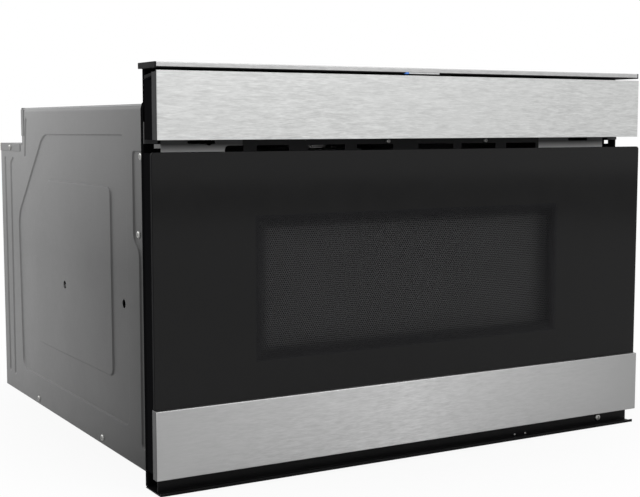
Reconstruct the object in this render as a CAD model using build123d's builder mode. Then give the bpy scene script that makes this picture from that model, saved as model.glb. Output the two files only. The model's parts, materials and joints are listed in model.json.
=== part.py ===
"""A 24-inch built-in microwave drawer with a concealed, tilting control panel.

Axes: +X to the right seen from the front, +Y to the rear, +Z up. The origin is the middle of the
footprint at floor level. Depths are counted from the front plane, the face of the drawer's lower
trim, so y_at(depth) turns a depth into a Y. All sizes are in millimetres.
"""

import os
from math import acos, cos, degrees, pi, radians, sin, tan

from build123d import *

# ------------------------------------------------------------------ overall
WIDTH = 606.4  # over the drawer's stainless trim, the widest piece
HEIGHT = 407.2
DEPTH = 587.0  # front plane to the outside of the back plate

# ------------------------------------------------------------------ body
SHEET = 1.0  # galvanised steel of the body and the cavity
HEM = 12.0  # width of the folded edges that join the sheets
BODY_DROP = 37.2  # how far the body's top lies below the top trim
STEP_DROP = 45.0  # body's top to the shelf behind the upper rear wall
STEP_LENGTH = 96.0  # length of that shelf
REAR_BAY = 130.0  # room for the power parts behind the cavity
SIDE_BAY = 58.2  # room for the slides beside the cavity

EMBOSS = 1.8  # how far the side panels' pressings stand out
EMBOSS_RADIUS = 14.0
SIDE_RIB_HEIGHT = 1.0
SIDE_RIB_RADIUS = 5.0
SIDE_HOLE_RADIUS = 3.4
FRONT_PRESS_END = 110.0  # depth at which the pressed-in front strip of a side panel ends
FRONT_PRESS_LOW = 21.3
FRONT_PRESS_DROP = 44.0  # its upper end below the body's top
STEP_FLANGE = 10.0  # step cover's flange over the side panels
STEP_FLANGE_SHEET = 0.8
STEP_FLANGE_GAP = 8.0  # from the upper rear wall to the shelf's flange

TOP_RIB_WIDTH = 24.0
TOP_RIB_PITCH = 120.0
TOP_RIB_END = 66.0  # cover's edge to the end of a rib
VENT_SLOT_WIDTH = 4.0
VENT_SLOT_LENGTH = 72.0
VENT_SLOT_PITCH = 10.0
VENT_SLOTS_BACK = 9
VENT_SLOTS_BASE = 6
BASE_SLOT_LENGTH = 36.0
VENT_GROUPS = (-60.0, 210.0)  # X of the back plate's two groups of slots, from the fan
CORD_INLET_INSET = 62.2
CORD_INLET_Z = 60.0
CORD_INLET_WIDTH = 22.0
CORD_INLET_HEIGHT = 16.0
CORD_INLET_RIM = 3.0
CORD_INLET_LENGTH = 4.0
CORD_SLOT_WIDTH = 10.0
CORD_SLOT_HEIGHT = 6.0
FIT_GAP = 0.1  # play of a snap-in part in its hole

SCREW_HEAD_RADIUS = 3.6
SCREW_HEAD_HEIGHT = 1.8
SCREW_HEAD_SIDES = 8
ROD_SIDES = 16  # flats of a round part that only stands in the body
BORE_SIDES = 12  # flats of a hole round a shaft
CORNER_STEPS = 3  # straight cuts that round a corner of a sheet
VENT_SCREW_RADIUS = 2.6
VENT_SCREW_HEIGHT = 1.6

# ------------------------------------------------------------------ front frame
FLANGE_DEPTH = 37.0  # front plane to the frame's face
FLANGE_INSET = 6.0  # how far the flange ends inside the drawer's trim
FLANGE_OVERLAP = 19.0  # how far it stands out past the body
FLANGE_RISE = 6.0  # shoulders above the body's top
FLANGE_RADIUS = 12.0
FLANGE_RETURN = 6.5  # depth of the frame's folded sides
FRAME_SHEET = 1.5
NECK_STEP = 2.4  # the frame is narrower by this behind the control panel
CABINET_SCREW_RADIUS = 2.5
CABINET_SCREW_INSET = 9.2
CABINET_SCREW_SPACING_Z = 240.0
CABINET_SCREW_LOW = 60.0
SIGHT_HOLE_GAP = 1.3  # body side to the small hole outside it
SIGHT_HOLE_WIDTH = 7.0
SIGHT_HOLE_HEIGHT = 4.0
SIGHT_HOLE_RISE = 3.0  # above the door glass

VENT_STRIP_LEFT_OUT = 1.8  # past the body's side
VENT_STRIP_RIGHT_IN = 2.6  # short of the body's other side
VENT_STRIP_OVERLAP = 10.0  # behind the door glass and behind the control panel
VENT_SLOTS_DOWN = 4.5  # below the door glass
VENT_SLOTS_HEIGHT = 9.5
VENT_SLOTS = [(-178.0, -142.0), (-119.5, -76.3), (-61.5, -17.0), (15.6, 61.0), (72.0, 118.5), (133.7, 175.5)]
VENT_WINDOW_INSET = 26.0
VENT_WINDOW_WIDTH = 28.5
VENT_WINDOW_HEIGHT = 10.0
VENT_WINDOW_DOWN = 4.3  # below the control panel
KEYHOLE_X = -208.8
KEYHOLE_RADIUS = 4.0
KEYHOLE_LENGTH = 15.8
VENT_SCREWS = [-230.0, -23.5, 104.3]
VENT_SCREW_DOWN = 3.3  # below the control panel

# ------------------------------------------------------------------ trims
TOP_TRIM_FRONT = 3.5
TOP_TRIM_BACK = 45.0
TOP_TRIM_LIP = 4.5
TRIM_SHEET = 1.0
END_CAP = 1.5
CARRIER_HEIGHT = 4.7
STATUS_LIGHT_X = -21.0
STATUS_LIGHT_WIDTH = 4.0
STATUS_LIGHT_DEPTH = 3.0
STATUS_LIGHT_RISE = 1.2
STATUS_STRIP = (-18.0, 19.5)
STATUS_DROP = 0.5  # how far the light hangs below the carrier

BOTTOM_TRIM_INSET = 3.7
BOTTOM_TRIM_FRONT = 0.6
BOTTOM_TRIM_SHEET = 1.2
BOTTOM_TRIM_LIP = 3.0
BOTTOM_WEB_DEPTH = 11.0
BOTTOM_WEB_INSET = 1.5
BOTTOM_WEB_HEIGHT = 14.0
BOTTOM_SCREW_INSET = 43.4
BOTTOM_SCREW_Z = 8.3

# ------------------------------------------------------------------ oven cavity and tray
CAVITY_FLOOR = 100.0
CAVITY_COLLAR = 12.0
CAVITY_RADIUS = 8.0
AIR_HOLE = 6.0
AIR_HOLE_PITCH = 12.0
AIR_HOLES = (5, 1)
AIR_HOLES_DROP = 40.0  # below the cavity's ceiling
AIR_INLET_INSET = 60.0  # from the cavity's back
LAMP_DEPTH = 150.0
TRAY_SIDE_GAP = 8.0
TRAY_FLOOR_GAP = 4.0
TRAY_BACK_GAP = 8.0
TRAY_HEIGHT = 54.0
TRAY_WALL = 2.5
TRAY_RADIUS = 24.0
TRAY_RIM = 4.0
TRAY_BASE_THICKNESS = 5.0
TRAY_BASE_GAP = 10.0
TRAY_BASE_CHAMFER = 1.5

# ------------------------------------------------------------------ microwave feed
GUIDE_WIDTH = 82.0
GUIDE_HEIGHT = 40.0
GUIDE_TOP_GAP = 3.0  # under the rear shelf
GUIDE_BEFORE_STIRRER = 50.0
GUIDE_BEHIND_MAGNETRON = 40.0
STIRRER_DEPTH = 240.0
STIRRER_RADIUS = 34.0
STIRRER_HUB = 12.0
STIRRER_BLADE_WIDTH = 17.0
STIRRER_BLADE_SHEET = 1.2
STIRRER_LIFT = 4.0
STIRRER_APERTURE = 38.0
STIRRER_SHAFT = 2.0
SHAFT_ENTRY = 4.0  # how far a shaft goes into its motor
STIRRER_MOTOR_RADIUS = 24.0
STIRRER_MOTOR_HEIGHT = 18.0
STIRRER_MOTOR_EAR = 7.0
STIRRER_EAR_WIDTH = 12.0
STIRRER_EAR_SHEET = 2.0
MICA_SIZE = 104.0
MICA_THICKNESS = 0.8
REAR_PARTS_INSET = 67.0  # middle of the magnetron and transformer before the back plate
MAGNETRON_WIDTH = 90.0
MAGNETRON_LENGTH = 84.0
MAGNETRON_HEIGHT = 91.0
FILTER_BOX_INSET = 10.0
FILTER_BOX_SIDE = 14.0
FILTER_BOX_HEIGHT = 24.0
YOKE_SHEET = 2.0
MAGNET_RADIUS = 26.0
MAGNET_HEIGHT = 12.0
ANODE_SIZE = 36.0
FIN_COUNT = 5
FIN_THICKNESS = 1.0
FIN_GAP = 1.0  # fins to the yoke
ANTENNA_RADIUS = 7.0
ANTENNA_LENGTH = 22.0
ANTENNA_HOLE = 12.0

# ------------------------------------------------------------------ power parts and fan
TRANSFORMER_INSET = 82.2
TRANSFORMER_WIDTH = 100.0
TRANSFORMER_HEIGHT = 85.0
TRANSFORMER_STACK = 50.0
TRANSFORMER_LIMB = 17.0
COIL_BULGE = 18.0
COIL_CORNER = 14.0
COIL_SPLIT = 30.6  # height of the primary winding
COIL_GAP = 2.0
CAPACITOR_GAP = 23.0  # transformer to capacitor
CAPACITOR_WIDTH = 54.0
CAPACITOR_THICKNESS = 34.0
CAPACITOR_HEIGHT = 92.0
TERMINAL_WIDTH = 6.3
TERMINAL_SHEET = 0.8
TERMINAL_HEIGHT = 10.0
TERMINAL_PITCH = 27.0
FAN_X = -100.0
FAN_INSET = 65.0  # fan's axis before the back plate
FAN_DROP = 89.0  # fan's axis below the rear shelf
FAN_RADIUS = 45.0
FAN_TIP_GAP = 1.5
FAN_RING = 15.0
FAN_RING_WALL = 2.0
FAN_PLATE = 2.0
FAN_PLATE_RIM = 8.0
FAN_BLADES = 5
FAN_BLADE_CHORD = 24.0
FAN_BLADE_SHEET = 1.6
FAN_BLADE_CAMBER = 3.0
FAN_BLADE_PITCH = 56.0
FAN_HUB_RADIUS = 12.0
FAN_HUB_LENGTH = 13.0
FAN_SHAFT_RADIUS = 2.5
FAN_ARM = 8.0
FAN_ARM_SPREAD = 22.0
FAN_ARM_RISE = 47.5
MOTOR_PLATE = 2.0
FAN_MOTOR_SIZE = 56.0
FAN_MOTOR_STACK = 20.0
FAN_COIL_WIDTH = 30.0
FAN_COIL_HEIGHT = 12.0
SHAFT_CLEARANCE = 0.05
SWITCH_HEIGHT = 15.0
SWITCH_LENGTH = 28.0
SWITCH_GAP = 0.5
PLUNGER_SIZE = 2.0
PLUNGER_INSET = 12.0
PLUNGER_GAP = 0.3
PRONG_OUT = 21.0  # prong's middle past the cavity wall
PRONG_UP = 7.0  # prong's middle above the choke cover
PRONG_LENGTH = 30.0
PRONG_WIDTH = 6.0
PRONG_HEIGHT = 10.0
PRONG_CLEARANCE = 2.0
PRONG_FOOT = 2.0
PRONG_CHAMFER = 1.5
BOARD_THICKNESS = 1.6
BOARD_LIFT = 14.0
BOARD_POST = 6.0
BOARD_POST_INSET = 10.0
CONTROL_BOARD_X = -160.0
CONTROL_BOARD_DEPTH = 330.0
CONTROL_BOARD = (160.0, 116.0)
SUPPLY_X = -45.0
SUPPLY_BLOCK = (40.0, 34.0, 30.0)
RELAYS_X = 40.0
RELAY = (18.0, 22.0, 16.0)
RELAY_GAP = 8.0
FILTER_INSET = 127.2  # from the body's inner wall
FILTER_DEPTH = 360.0
FILTER_BOARD = (90.0, 70.0)
CHOKE_COIL_X = 18.0
CHOKE_COIL_RADIUS = 14.0
CHOKE_COIL_HEIGHT = 18.0
FILTER_CAPS_X = -22.0
FILTER_CAP = (26.0, 14.0, 18.0)
FILTER_CAP_PITCH = 26.0
LAMP_PLATE = (70.0, 46.0)
LAMP_PLATE_SHEET = 2.0
LAMP_RADIUS = 13.0
LAMP_LENGTH = 34.0
CUTOUT_DEPTH = 120.0
CUTOUTS_X = (-120.0, 60.0)
CUTOUT_RADIUS = 8.0
CUTOUT_HEIGHT = 7.0
CUTOUT_TAB = (26.0, 9.0, 1.0)

# ------------------------------------------------------------------ drawer front
TRIM_LOW = 15.5
TRIM_HIGH = 82.1
TRIM_SIDE = 10.0
GLASS_SIDE_STEP = 0.5
GLASS_FRONT = 4.5
GLASS_THICKNESS = 4.0
GLASS_RADIUS = 5.0
GLASS_CHAMFER = 0.5
AIR_GAP = 11.3  # door glass to control panel, where the vent strip shows
DOOR_SIDE_STEP = 4.2
DOOR_EDGE = 1.0  # door frame below the glass's upper edge
DOOR_RISE = 1.5  # door frame above the trim's lower edge
DOOR_BACK = 33.0
DOOR_WALL = 2.5
DOOR_BOSS_RADIUS = 4.0
DOOR_BOSS_INSET = 10.0
PLATE_GAP = 0.3  # inner panel's edge to the door frame
WINDOW_INSET = 40.0  # inside the cavity's side
WINDOW_RISE = 28.0  # above the cavity's floor
WINDOW_DROP = 27.0  # below the cavity's ceiling
WINDOW_RECESS = 2.0
SIGHT_GAP = 2.0  # door frame to the screen's edge
SCREEN_DEPTH = 22.6
SCREEN_THICKNESS = 0.6
SCREEN_BORDER = 9.0
CHOKE_SIDE = 15.0  # choke cover past the cavity's side
CHOKE_BELOW = 20.0
CHOKE_ABOVE = 12.0
CHOKE_THICKNESS = 3.5
CHOKE_RADIUS = 10.0
CHOKE_CHAMFER = 1.0
INNER_PANE_THICKNESS = 2.0

# ------------------------------------------------------------------ drawer drive
MODULE = 2.0
PINION_TEETH = 16
PINION_WIDTH = 10.0
PINION_DEPTH = 70.0
PINION_SHAFT = 3.0
SHAFT_END = 1.0  # shaft past the bracket's far plate
RACK_PITCH_Z = 62.0
RACK_LENGTH = 440.0
RACK_WIDTH = 11.0
RACK_BACKING = 10.0
RACK_FOOT = 2.0
RACK_FOOT_WIDTH = 33.0
RACK_SINK = 0.01  # tooth form's root inside the rack
BACKLASH = 0.3
PRESSURE_ANGLE = radians(20)
GEAR_ADDENDUM = 1.0
GEAR_DEDENDUM = 1.25
RACK_ADDENDUM = 0.9
DRIVE_PLATE = 2.0
DRIVE_PLATE_GAP = 1.5
DRIVE_LENGTH = 60.0
DRIVE_FOOT = 16.0
DRIVE_GAP = 0.3  # bridge above the rack
GEARMOTOR_RADIUS = 18.0
GEARMOTOR_LENGTH = 66.0
GEARBOX_LENGTH = 26.0
GEARBOX_FRONT = 18.0
GEARBOX_BACK = 30.0
GEARBOX_HALF = 18.0
MOTOR_SHAFT_ENTRY = 6.0
DRAWER_TRAVEL = 380.0

# ------------------------------------------------------------------ slides
SLIDE_GAP = 19.0  # cavity wall to slide
SLIDE_THICKNESS = 12.7
SLIDE_HEIGHT = 45.0
SLIDE_Z = 127.5
SLIDE_SHEET = 1.2
SLIDE_LENGTH = 400.0
SLIDE_START = 2.0  # behind the front frame
OUTER_TIP_IN = 3.0  # outer member's lips from the slide's inner side
MIDDLE_TIP_IN = 2.0
WEB_GAP = 2.1  # between the webs of two members
SLIDE_TAB = 12.0
BALL_DIAMETER = 3.3
LIP = 2.5
CAGE_SHEET = 0.9
CAGE_WINDOWS = 5
CAGE_SHORTER = 10.0
CAGE_LIP_GAP = 0.5
SLOT_CLEARANCE = 1.5
BRACKET_SHARE_END = 40.0  # slide's end past its bracket
BRACKET_WINDOW = (80.0, 60.0)
BRACKET_WINDOW_PITCH = 110.0
BRACKET_WINDOW_RISE = 4.0

# ------------------------------------------------------------------ control panel
PANEL_OVERHANG = 3.3  # past the frame's neck
PANEL_TOP_GAP = 2.2
PANEL_HEIGHT = 64.0
PANEL_SLOPE_DROP = 4.3  # its top falls by this towards the back
PANEL_FRONT = 1.8
PANEL_BACK = 34.0
PANEL_SIDE = 13.0
FASCIA_SHEET = 1.1
HOUSING_WALL = 2.0
CONTROL_GLASS = 3.0
PANEL_BOARD_LENGTH = 300.0
PANEL_BOARD_THICKNESS = 3.0
PANEL_CHIP = (60.0, 16.0, 8.0)
PANEL_CHIP_DEPTH = 18.0
HINGE_DEPTH = 9.0
HINGE_RISE = 6.7  # above the panel's lower edge
HINGE_INSET = 9.8  # from the neck's side
HINGE_SHEET = 3.0
HINGE_PIN = 2.0
HINGE_LUG = 4.8
HINGE_SLOT_GAP = 1.0
HINGE_SLOT_TOP = 1.5
HINGE_EAR = 3.5
HINGE_FOOT_RISE = 10.0
HINGE_FOOT_DROP = 10.5
PANEL_MODULE = 1.0
SECTOR_TEETH = 32  # of a full circle
PANEL_PINION_TEETH = 12
PANEL_PINION_ANGLE = 45.0  # bearing of the pinion from the hinge when shut
SECTOR_CUT_TEETH = 7
PANEL_SHAFT = 1.5
PANEL_SHAFT_PLAY = 1.0
PANEL_SHAFT_END = 1.4
MOTOR_PAD = 9.0
PANEL_MOTOR_RADIUS = 6.5
PANEL_MOTOR_LENGTH = 40.0
STUB_ADDENDUM = 0.7
STUB_DEDENDUM = 0.95
PANEL_BACKLASH = 0.3

# ------------------------------------------------------------------ worked-out sizes
FRONT_Y = -DEPTH / 2
FLANGE_WIDTH = WIDTH - 2 * FLANGE_INSET
NECK_WIDTH = FLANGE_WIDTH - 2 * NECK_STEP
TOP_TRIM_WIDTH = FLANGE_WIDTH
BOTTOM_TRIM_WIDTH = WIDTH - 2 * BOTTOM_TRIM_INSET
BOTTOM_WEB_WIDTH = BOTTOM_TRIM_WIDTH - 2 * BOTTOM_WEB_INSET
HALF_BODY = FLANGE_WIDTH / 2 - FLANGE_OVERLAP
INSIDE = HALF_BODY - SHEET  # half the width between the side panels
CAVITY_HALF = HALF_BODY - SIDE_BAY
CAVITY_WIDTH = 2 * CAVITY_HALF

BODY_HEIGHT = HEIGHT - BODY_DROP
STEP_HEIGHT = BODY_HEIGHT - STEP_DROP
FLANGE_HEIGHT = BODY_HEIGHT + FLANGE_RISE
CARRIER_TOP = HEIGHT - TRIM_SHEET
NECK_TOP = CARRIER_TOP - CARRIER_HEIGHT
PANEL_HIGH = NECK_TOP - PANEL_TOP_GAP
PANEL_LOW = PANEL_HIGH - PANEL_HEIGHT
PANEL_WIDTH = NECK_WIDTH + 2 * PANEL_OVERHANG
HINGE_X = NECK_WIDTH / 2 - HINGE_INSET
HINGE_Z = PANEL_LOW + HINGE_RISE

BODY_FRONT = FLANGE_DEPTH + FRAME_SHEET  # depth at which the body and the cavity begin
BODY_BACK = DEPTH - SHEET
STEP_DEPTH = DEPTH - STEP_LENGTH
CAVITY_BACK = DEPTH - REAR_BAY
CAVITY_DEPTH = CAVITY_BACK - BODY_FRONT
GUIDE_TOP = STEP_HEIGHT - SHEET - GUIDE_TOP_GAP
CEILING = GUIDE_TOP - GUIDE_HEIGHT  # top of the cavity's ceiling sheet
CAVITY_TOP = CEILING - SHEET
CAVITY_HEIGHT = CAVITY_TOP - CAVITY_FLOOR
REAR_PARTS = DEPTH - REAR_PARTS_INSET
FAN_DEPTH = DEPTH - FAN_INSET
FAN_Z = STEP_HEIGHT - FAN_DROP
TRANSFORMER_X = INSIDE - TRANSFORMER_INSET
CAPACITOR_X = TRANSFORMER_X - TRANSFORMER_WIDTH / 2 - CAPACITOR_GAP - CAPACITOR_WIDTH / 2
CORD_INLET_X = INSIDE - CORD_INLET_INSET
FILTER_X = INSIDE - FILTER_INSET

GLASS_WIDTH = WIDTH - 2 * GLASS_SIDE_STEP
GLASS_TOP = PANEL_LOW - AIR_GAP
DOOR_WIDTH = WIDTH - 2 * DOOR_SIDE_STEP
DOOR_LOW = TRIM_LOW + DOOR_RISE
DOOR_HIGH = GLASS_TOP - DOOR_EDGE
DOOR_FACE = GLASS_FRONT + GLASS_THICKNESS
WINDOW_LOW = CAVITY_FLOOR + WINDOW_RISE
WINDOW_HIGH = CAVITY_TOP - WINDOW_DROP
CHOKE_LOW = CAVITY_FLOOR - CHOKE_BELOW
CHOKE_HIGH = CAVITY_TOP + CHOKE_ABOVE
CHOKE_BACK = DOOR_BACK + CHOKE_THICKNESS
PRONG_X = CAVITY_HALF + PRONG_OUT
PRONG_Z = CHOKE_HIGH + PRONG_UP

VENT_STRIP_LEFT = -HALF_BODY - VENT_STRIP_LEFT_OUT
VENT_STRIP_RIGHT = HALF_BODY - VENT_STRIP_RIGHT_IN
VENT_STRIP_LOW = GLASS_TOP - VENT_STRIP_OVERLAP
VENT_STRIP_HIGH = PANEL_LOW + VENT_STRIP_OVERLAP
VENT_SLOTS_LOW = GLASS_TOP - VENT_SLOTS_DOWN
VENT_SLOTS_HIGH = VENT_SLOTS_LOW + VENT_SLOTS_HEIGHT
VENT_WINDOWS_LOW = PANEL_LOW - VENT_WINDOW_DOWN
VENT_WINDOWS_HIGH = VENT_WINDOWS_LOW + VENT_WINDOW_HEIGHT

PINION_RADIUS = MODULE * PINION_TEETH / 2
PINION_Z = RACK_PITCH_Z - PINION_RADIUS
RACK_ROOT = RACK_PITCH_Z + GEAR_DEDENDUM * MODULE
RACK_TOP = RACK_ROOT + RACK_BACKING
SLIDE_INNER_X = CAVITY_HALF + SHEET + SLIDE_GAP
SLIDE_OUTER_X = SLIDE_INNER_X + SLIDE_THICKNESS
SECTOR_RADIUS = PANEL_MODULE * SECTOR_TEETH / 2
PANEL_PINION_RADIUS = PANEL_MODULE * PANEL_PINION_TEETH / 2
PANEL_PINION_REACH = SECTOR_RADIUS + PANEL_PINION_RADIUS
PANEL_PINION_DEPTH = HINGE_DEPTH + PANEL_PINION_REACH * cos(radians(PANEL_PINION_ANGLE))
PANEL_PINION_Z = HINGE_Z + PANEL_PINION_REACH * sin(radians(PANEL_PINION_ANGLE))


# ------------------------------------------------------------------ helpers
def y_at(depth):
    """The Y of a place this far behind the front plane."""
    return FRONT_Y + depth


def facing(depth):
    """A sketch plane across the oven; its axes are X and Z, and it is normal to -Y."""
    return Plane.XZ.offset(-y_at(depth))


def beside(x):
    """A sketch plane along the oven's side; its axes are Y and Z, and it is normal to +X."""
    return Plane.YZ.offset(x)


def turned_at(x, depth, z):
    """A plane normal to +X with its origin on an axle; its axes are Y and Z."""
    return Plane(origin=(x, y_at(depth), z), x_dir=(0, 1, 0), z_dir=(1, 0, 0))


def span(left, right, low, high, mode=Mode.ADD):
    """A rectangle between two corners of the current sketch."""
    with Locations(((left + right) / 2, (low + high) / 2)):
        Rectangle(right - left, high - low, mode=mode)


def slab(x, depth, z, mode=Mode.ADD):
    """A rectangular block between two corners, given as (low, high) in X, depth and Z."""
    with Locations(((x[0] + x[1]) / 2, y_at((depth[0] + depth[1]) / 2), (z[0] + z[1]) / 2)):
        Box(x[1] - x[0], depth[1] - depth[0], z[1] - z[0], mode=mode)


def standing_block(size):
    """A block of this X, Y and Z size that stands on the current location."""
    Box(*size, align=(Align.CENTER, Align.CENTER, Align.MIN))


def standing_rod(radius, height, mode=Mode.ADD, sides=ROD_SIDES):
    """A many-sided rod that stands on the current location."""
    with BuildSketch(Plane.XY, mode=Mode.PRIVATE) as outline:
        RegularPolygon(radius, sides)
    add(extrude(outline.sketch, amount=height, mode=Mode.PRIVATE), mode=mode)


def bore(radius, sides=BORE_SIDES, mode=Mode.SUBTRACT):
    """A many-sided hole in the current sketch, whose flats clear a shaft of this radius."""
    RegularPolygon(radius, sides, major_radius=False, mode=mode)


def eased_outline(points, radius):
    """A closed outline's points, with each corner rounded in a few straight cuts."""
    eased = []
    for index, point in enumerate(points):
        corner, before = Vector(*point), Vector(*points[index - 1])
        after = Vector(*points[(index + 1) % len(points)])
        back, on = (before - corner).normalized(), (after - corner).normalized()
        half_angle = radians(back.get_angle(on) / 2)
        centre = corner + (back + on).normalized() * (radius / sin(half_angle))
        start, end = (corner + way * (radius / tan(half_angle)) - centre for way in (back, on))
        for step in range(CORNER_STEPS + 1):
            share = step / CORNER_STEPS
            cut = centre + (start * (1 - share) + end * share).normalized() * radius
            eased.append((cut.X, cut.Y))
    return eased


def eased_rectangle(across, along, radius, mode=Mode.ADD):
    """A rectangle about the current location with eased corners."""
    x, y = across / 2, along / 2
    Polygon(*eased_outline([(x, y), (-x, y), (-x, -y), (x, -y)], radius), align=None, mode=mode)


def along_side(points):
    """Depth and height pairs as the Y and Z of a side sketch."""
    return [(y_at(depth), z) for depth, z in points]


def mirrored(piece):
    """The piece as its mirror image on the other side of the oven."""
    return mirror(piece, about=Plane.YZ)


def involute(angle):
    """How far an involute has turned away from its start at this pressure angle."""
    return tan(angle) - angle


def tooth_points(teeth, module, addendum, dedendum, thinning, steps=2):
    """One involute tooth on the sketch's X axis, from its root on one side to that on the other."""
    pitch_radius = module * teeth / 2
    base_radius = pitch_radius * cos(PRESSURE_ANGLE)
    root_radius = pitch_radius - dedendum * module
    tip_radius = pitch_radius + addendum * module
    half_tooth = pi / (2 * teeth) - thinning / (2 * pitch_radius)
    start = max(base_radius, root_radius)
    flank = []
    for step in range(steps + 1):
        radius = start + (tip_radius - start) * step / steps
        flank.append((radius, half_tooth + involute(PRESSURE_ANGLE) - involute(acos(base_radius / radius))))
    if root_radius < start:
        flank.insert(0, (root_radius, flank[0][1]))
    upper = [(radius * cos(angle), radius * sin(angle)) for radius, angle in flank]
    return [(x, -y) for x, y in upper] + upper[::-1]


def gear_points(teeth, start=0.0, count=None, **form):
    """The outline of a gear's teeth, or of a few of them, with the first tooth at this bearing."""
    tooth = tooth_points(teeth, **form)
    outline = []
    for index in range(count or teeth):
        turn = radians(start + 360 / teeth * index)
        outline += [(x * cos(turn) - y * sin(turn), x * sin(turn) + y * cos(turn)) for x, y in tooth]
    return outline


# ------------------------------------------------------------------ front frame
def frame_outline(inset, overrun):
    """The flange with its rounded shoulders and the narrower neck above it."""
    half = FLANGE_WIDTH / 2 - inset
    with Locations((0, FLANGE_HEIGHT / 2 - inset)):
        eased_rectangle(2 * half, FLANGE_HEIGHT, FLANGE_RADIUS - inset)
    span(-half, half, -overrun, FLANGE_HEIGHT / 2)
    span(inset - NECK_WIDTH / 2, NECK_WIDTH / 2 - inset, FLANGE_HEIGHT / 2, NECK_TOP + overrun)


with BuildPart() as front_frame:
    with BuildSketch(facing(FLANGE_DEPTH)):
        frame_outline(0, 0)
    extrude(amount=-FLANGE_RETURN)
    with BuildSketch(facing(BODY_FRONT)):
        frame_outline(FRAME_SHEET, FLANGE_RETURN)
    extrude(amount=-FLANGE_RETURN, mode=Mode.SUBTRACT)
    with BuildSketch(facing(FLANGE_DEPTH)):
        with Locations((0, CAVITY_FLOOR + CAVITY_HEIGHT / 2)):
            eased_rectangle(CAVITY_WIDTH, CAVITY_HEIGHT, CAVITY_RADIUS)
        for side in (-1, 1):
            with Locations((side * (SLIDE_INNER_X + SLIDE_OUTER_X) / 2, SLIDE_Z)):
                Rectangle(SLIDE_THICKNESS + 2 * SLOT_CLEARANCE, SLIDE_HEIGHT + 2 * SLOT_CLEARANCE)
            with Locations((side * PRONG_X, PRONG_Z)):
                Rectangle(PRONG_WIDTH + 2 * PRONG_CLEARANCE, PRONG_HEIGHT + 2 * PRONG_CLEARANCE)
            sight_x = side * (HALF_BODY + SIGHT_HOLE_GAP + SIGHT_HOLE_WIDTH / 2)
            with Locations((sight_x, GLASS_TOP + SIGHT_HOLE_RISE + SIGHT_HOLE_HEIGHT / 2)):
                Rectangle(SIGHT_HOLE_WIDTH, SIGHT_HOLE_HEIGHT)
        rack_half = RACK_WIDTH / 2 + 2 * SLOT_CLEARANCE
        span(-rack_half, rack_half, RACK_PITCH_Z - 2 * SLOT_CLEARANCE, RACK_TOP + 2 * SLOT_CLEARANCE)
        span(VENT_STRIP_LEFT + HEM, VENT_STRIP_RIGHT - HEM, VENT_SLOTS_LOW - SHEET, VENT_WINDOWS_HIGH + SHEET)
        with Locations((0, CABINET_SCREW_LOW + CABINET_SCREW_SPACING_Z / 2)):
            with GridLocations(FLANGE_WIDTH - 2 * CABINET_SCREW_INSET, CABINET_SCREW_SPACING_Z, 2, 2):
                Circle(CABINET_SCREW_RADIUS)
    extrude(amount=-FRAME_SHEET, mode=Mode.SUBTRACT)

with BuildPart() as vent_grille:
    with BuildSketch(facing(FLANGE_DEPTH)):
        span(VENT_STRIP_LEFT, VENT_STRIP_RIGHT, VENT_STRIP_LOW, VENT_STRIP_HIGH)
        for left, right in VENT_SLOTS:
            span(left, right, VENT_SLOTS_LOW, VENT_SLOTS_HIGH, mode=Mode.SUBTRACT)
        window_out = HALF_BODY - VENT_WINDOW_INSET
        for side in (-1, 1):
            window = sorted((side * window_out, side * (window_out - VENT_WINDOW_WIDTH)))
            span(*window, VENT_WINDOWS_LOW, VENT_WINDOWS_HIGH, mode=Mode.SUBTRACT)
        middle = VENT_SLOTS_HIGH - KEYHOLE_RADIUS
        keyhole = (KEYHOLE_X, KEYHOLE_X + KEYHOLE_LENGTH)
        span(*keyhole, middle - KEYHOLE_RADIUS, middle + KEYHOLE_RADIUS, mode=Mode.SUBTRACT)
        with Locations((KEYHOLE_X, middle)):
            Circle(KEYHOLE_RADIUS, mode=Mode.SUBTRACT)
    extrude(amount=SHEET)

# ------------------------------------------------------------------ trims
with BuildPart() as top_trim:
    with BuildSketch(beside(-TOP_TRIM_WIDTH / 2)):
        front, back = y_at(TOP_TRIM_FRONT), y_at(TOP_TRIM_BACK)
        span(front, back, CARRIER_TOP, HEIGHT)
        span(front, front + TRIM_SHEET, HEIGHT - TOP_TRIM_LIP, HEIGHT)
    extrude(amount=TOP_TRIM_WIDTH)
    lip_edge = top_trim.edges().filter_by(Axis.X).group_by(Axis.Y)[0].sort_by(Axis.Z)[-1]
    fillet(lip_edge, TRIM_SHEET * 0.8)

with BuildPart() as top_trim_carrier:
    carrier_front = TOP_TRIM_FRONT + TRIM_SHEET
    half = TOP_TRIM_WIDTH / 2
    slab((-half, half), (carrier_front, TOP_TRIM_BACK - TRIM_SHEET), (NECK_TOP, CARRIER_TOP))
    for side in (-1, 1):
        cap = sorted((side * half, side * (half + END_CAP)))
        slab(cap, (TOP_TRIM_FRONT, TOP_TRIM_BACK), (NECK_TOP, HEIGHT))
    light = (STATUS_LIGHT_X - STATUS_LIGHT_WIDTH / 2, STATUS_LIGHT_X + STATUS_LIGHT_WIDTH / 2)
    light_depth = (carrier_front, carrier_front + STATUS_LIGHT_DEPTH)
    light_top = NECK_TOP + STATUS_LIGHT_RISE
    slab((light[0], STATUS_STRIP[1]), light_depth, (NECK_TOP, light_top), Mode.SUBTRACT)

with BuildPart() as status_light:
    slab(light, light_depth, (NECK_TOP - STATUS_DROP, light_top))
    slab(STATUS_STRIP, light_depth, (NECK_TOP - STATUS_DROP / 2, light_top))
    slab((light[1], STATUS_STRIP[0]), light_depth, (NECK_TOP, light_top))

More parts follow.
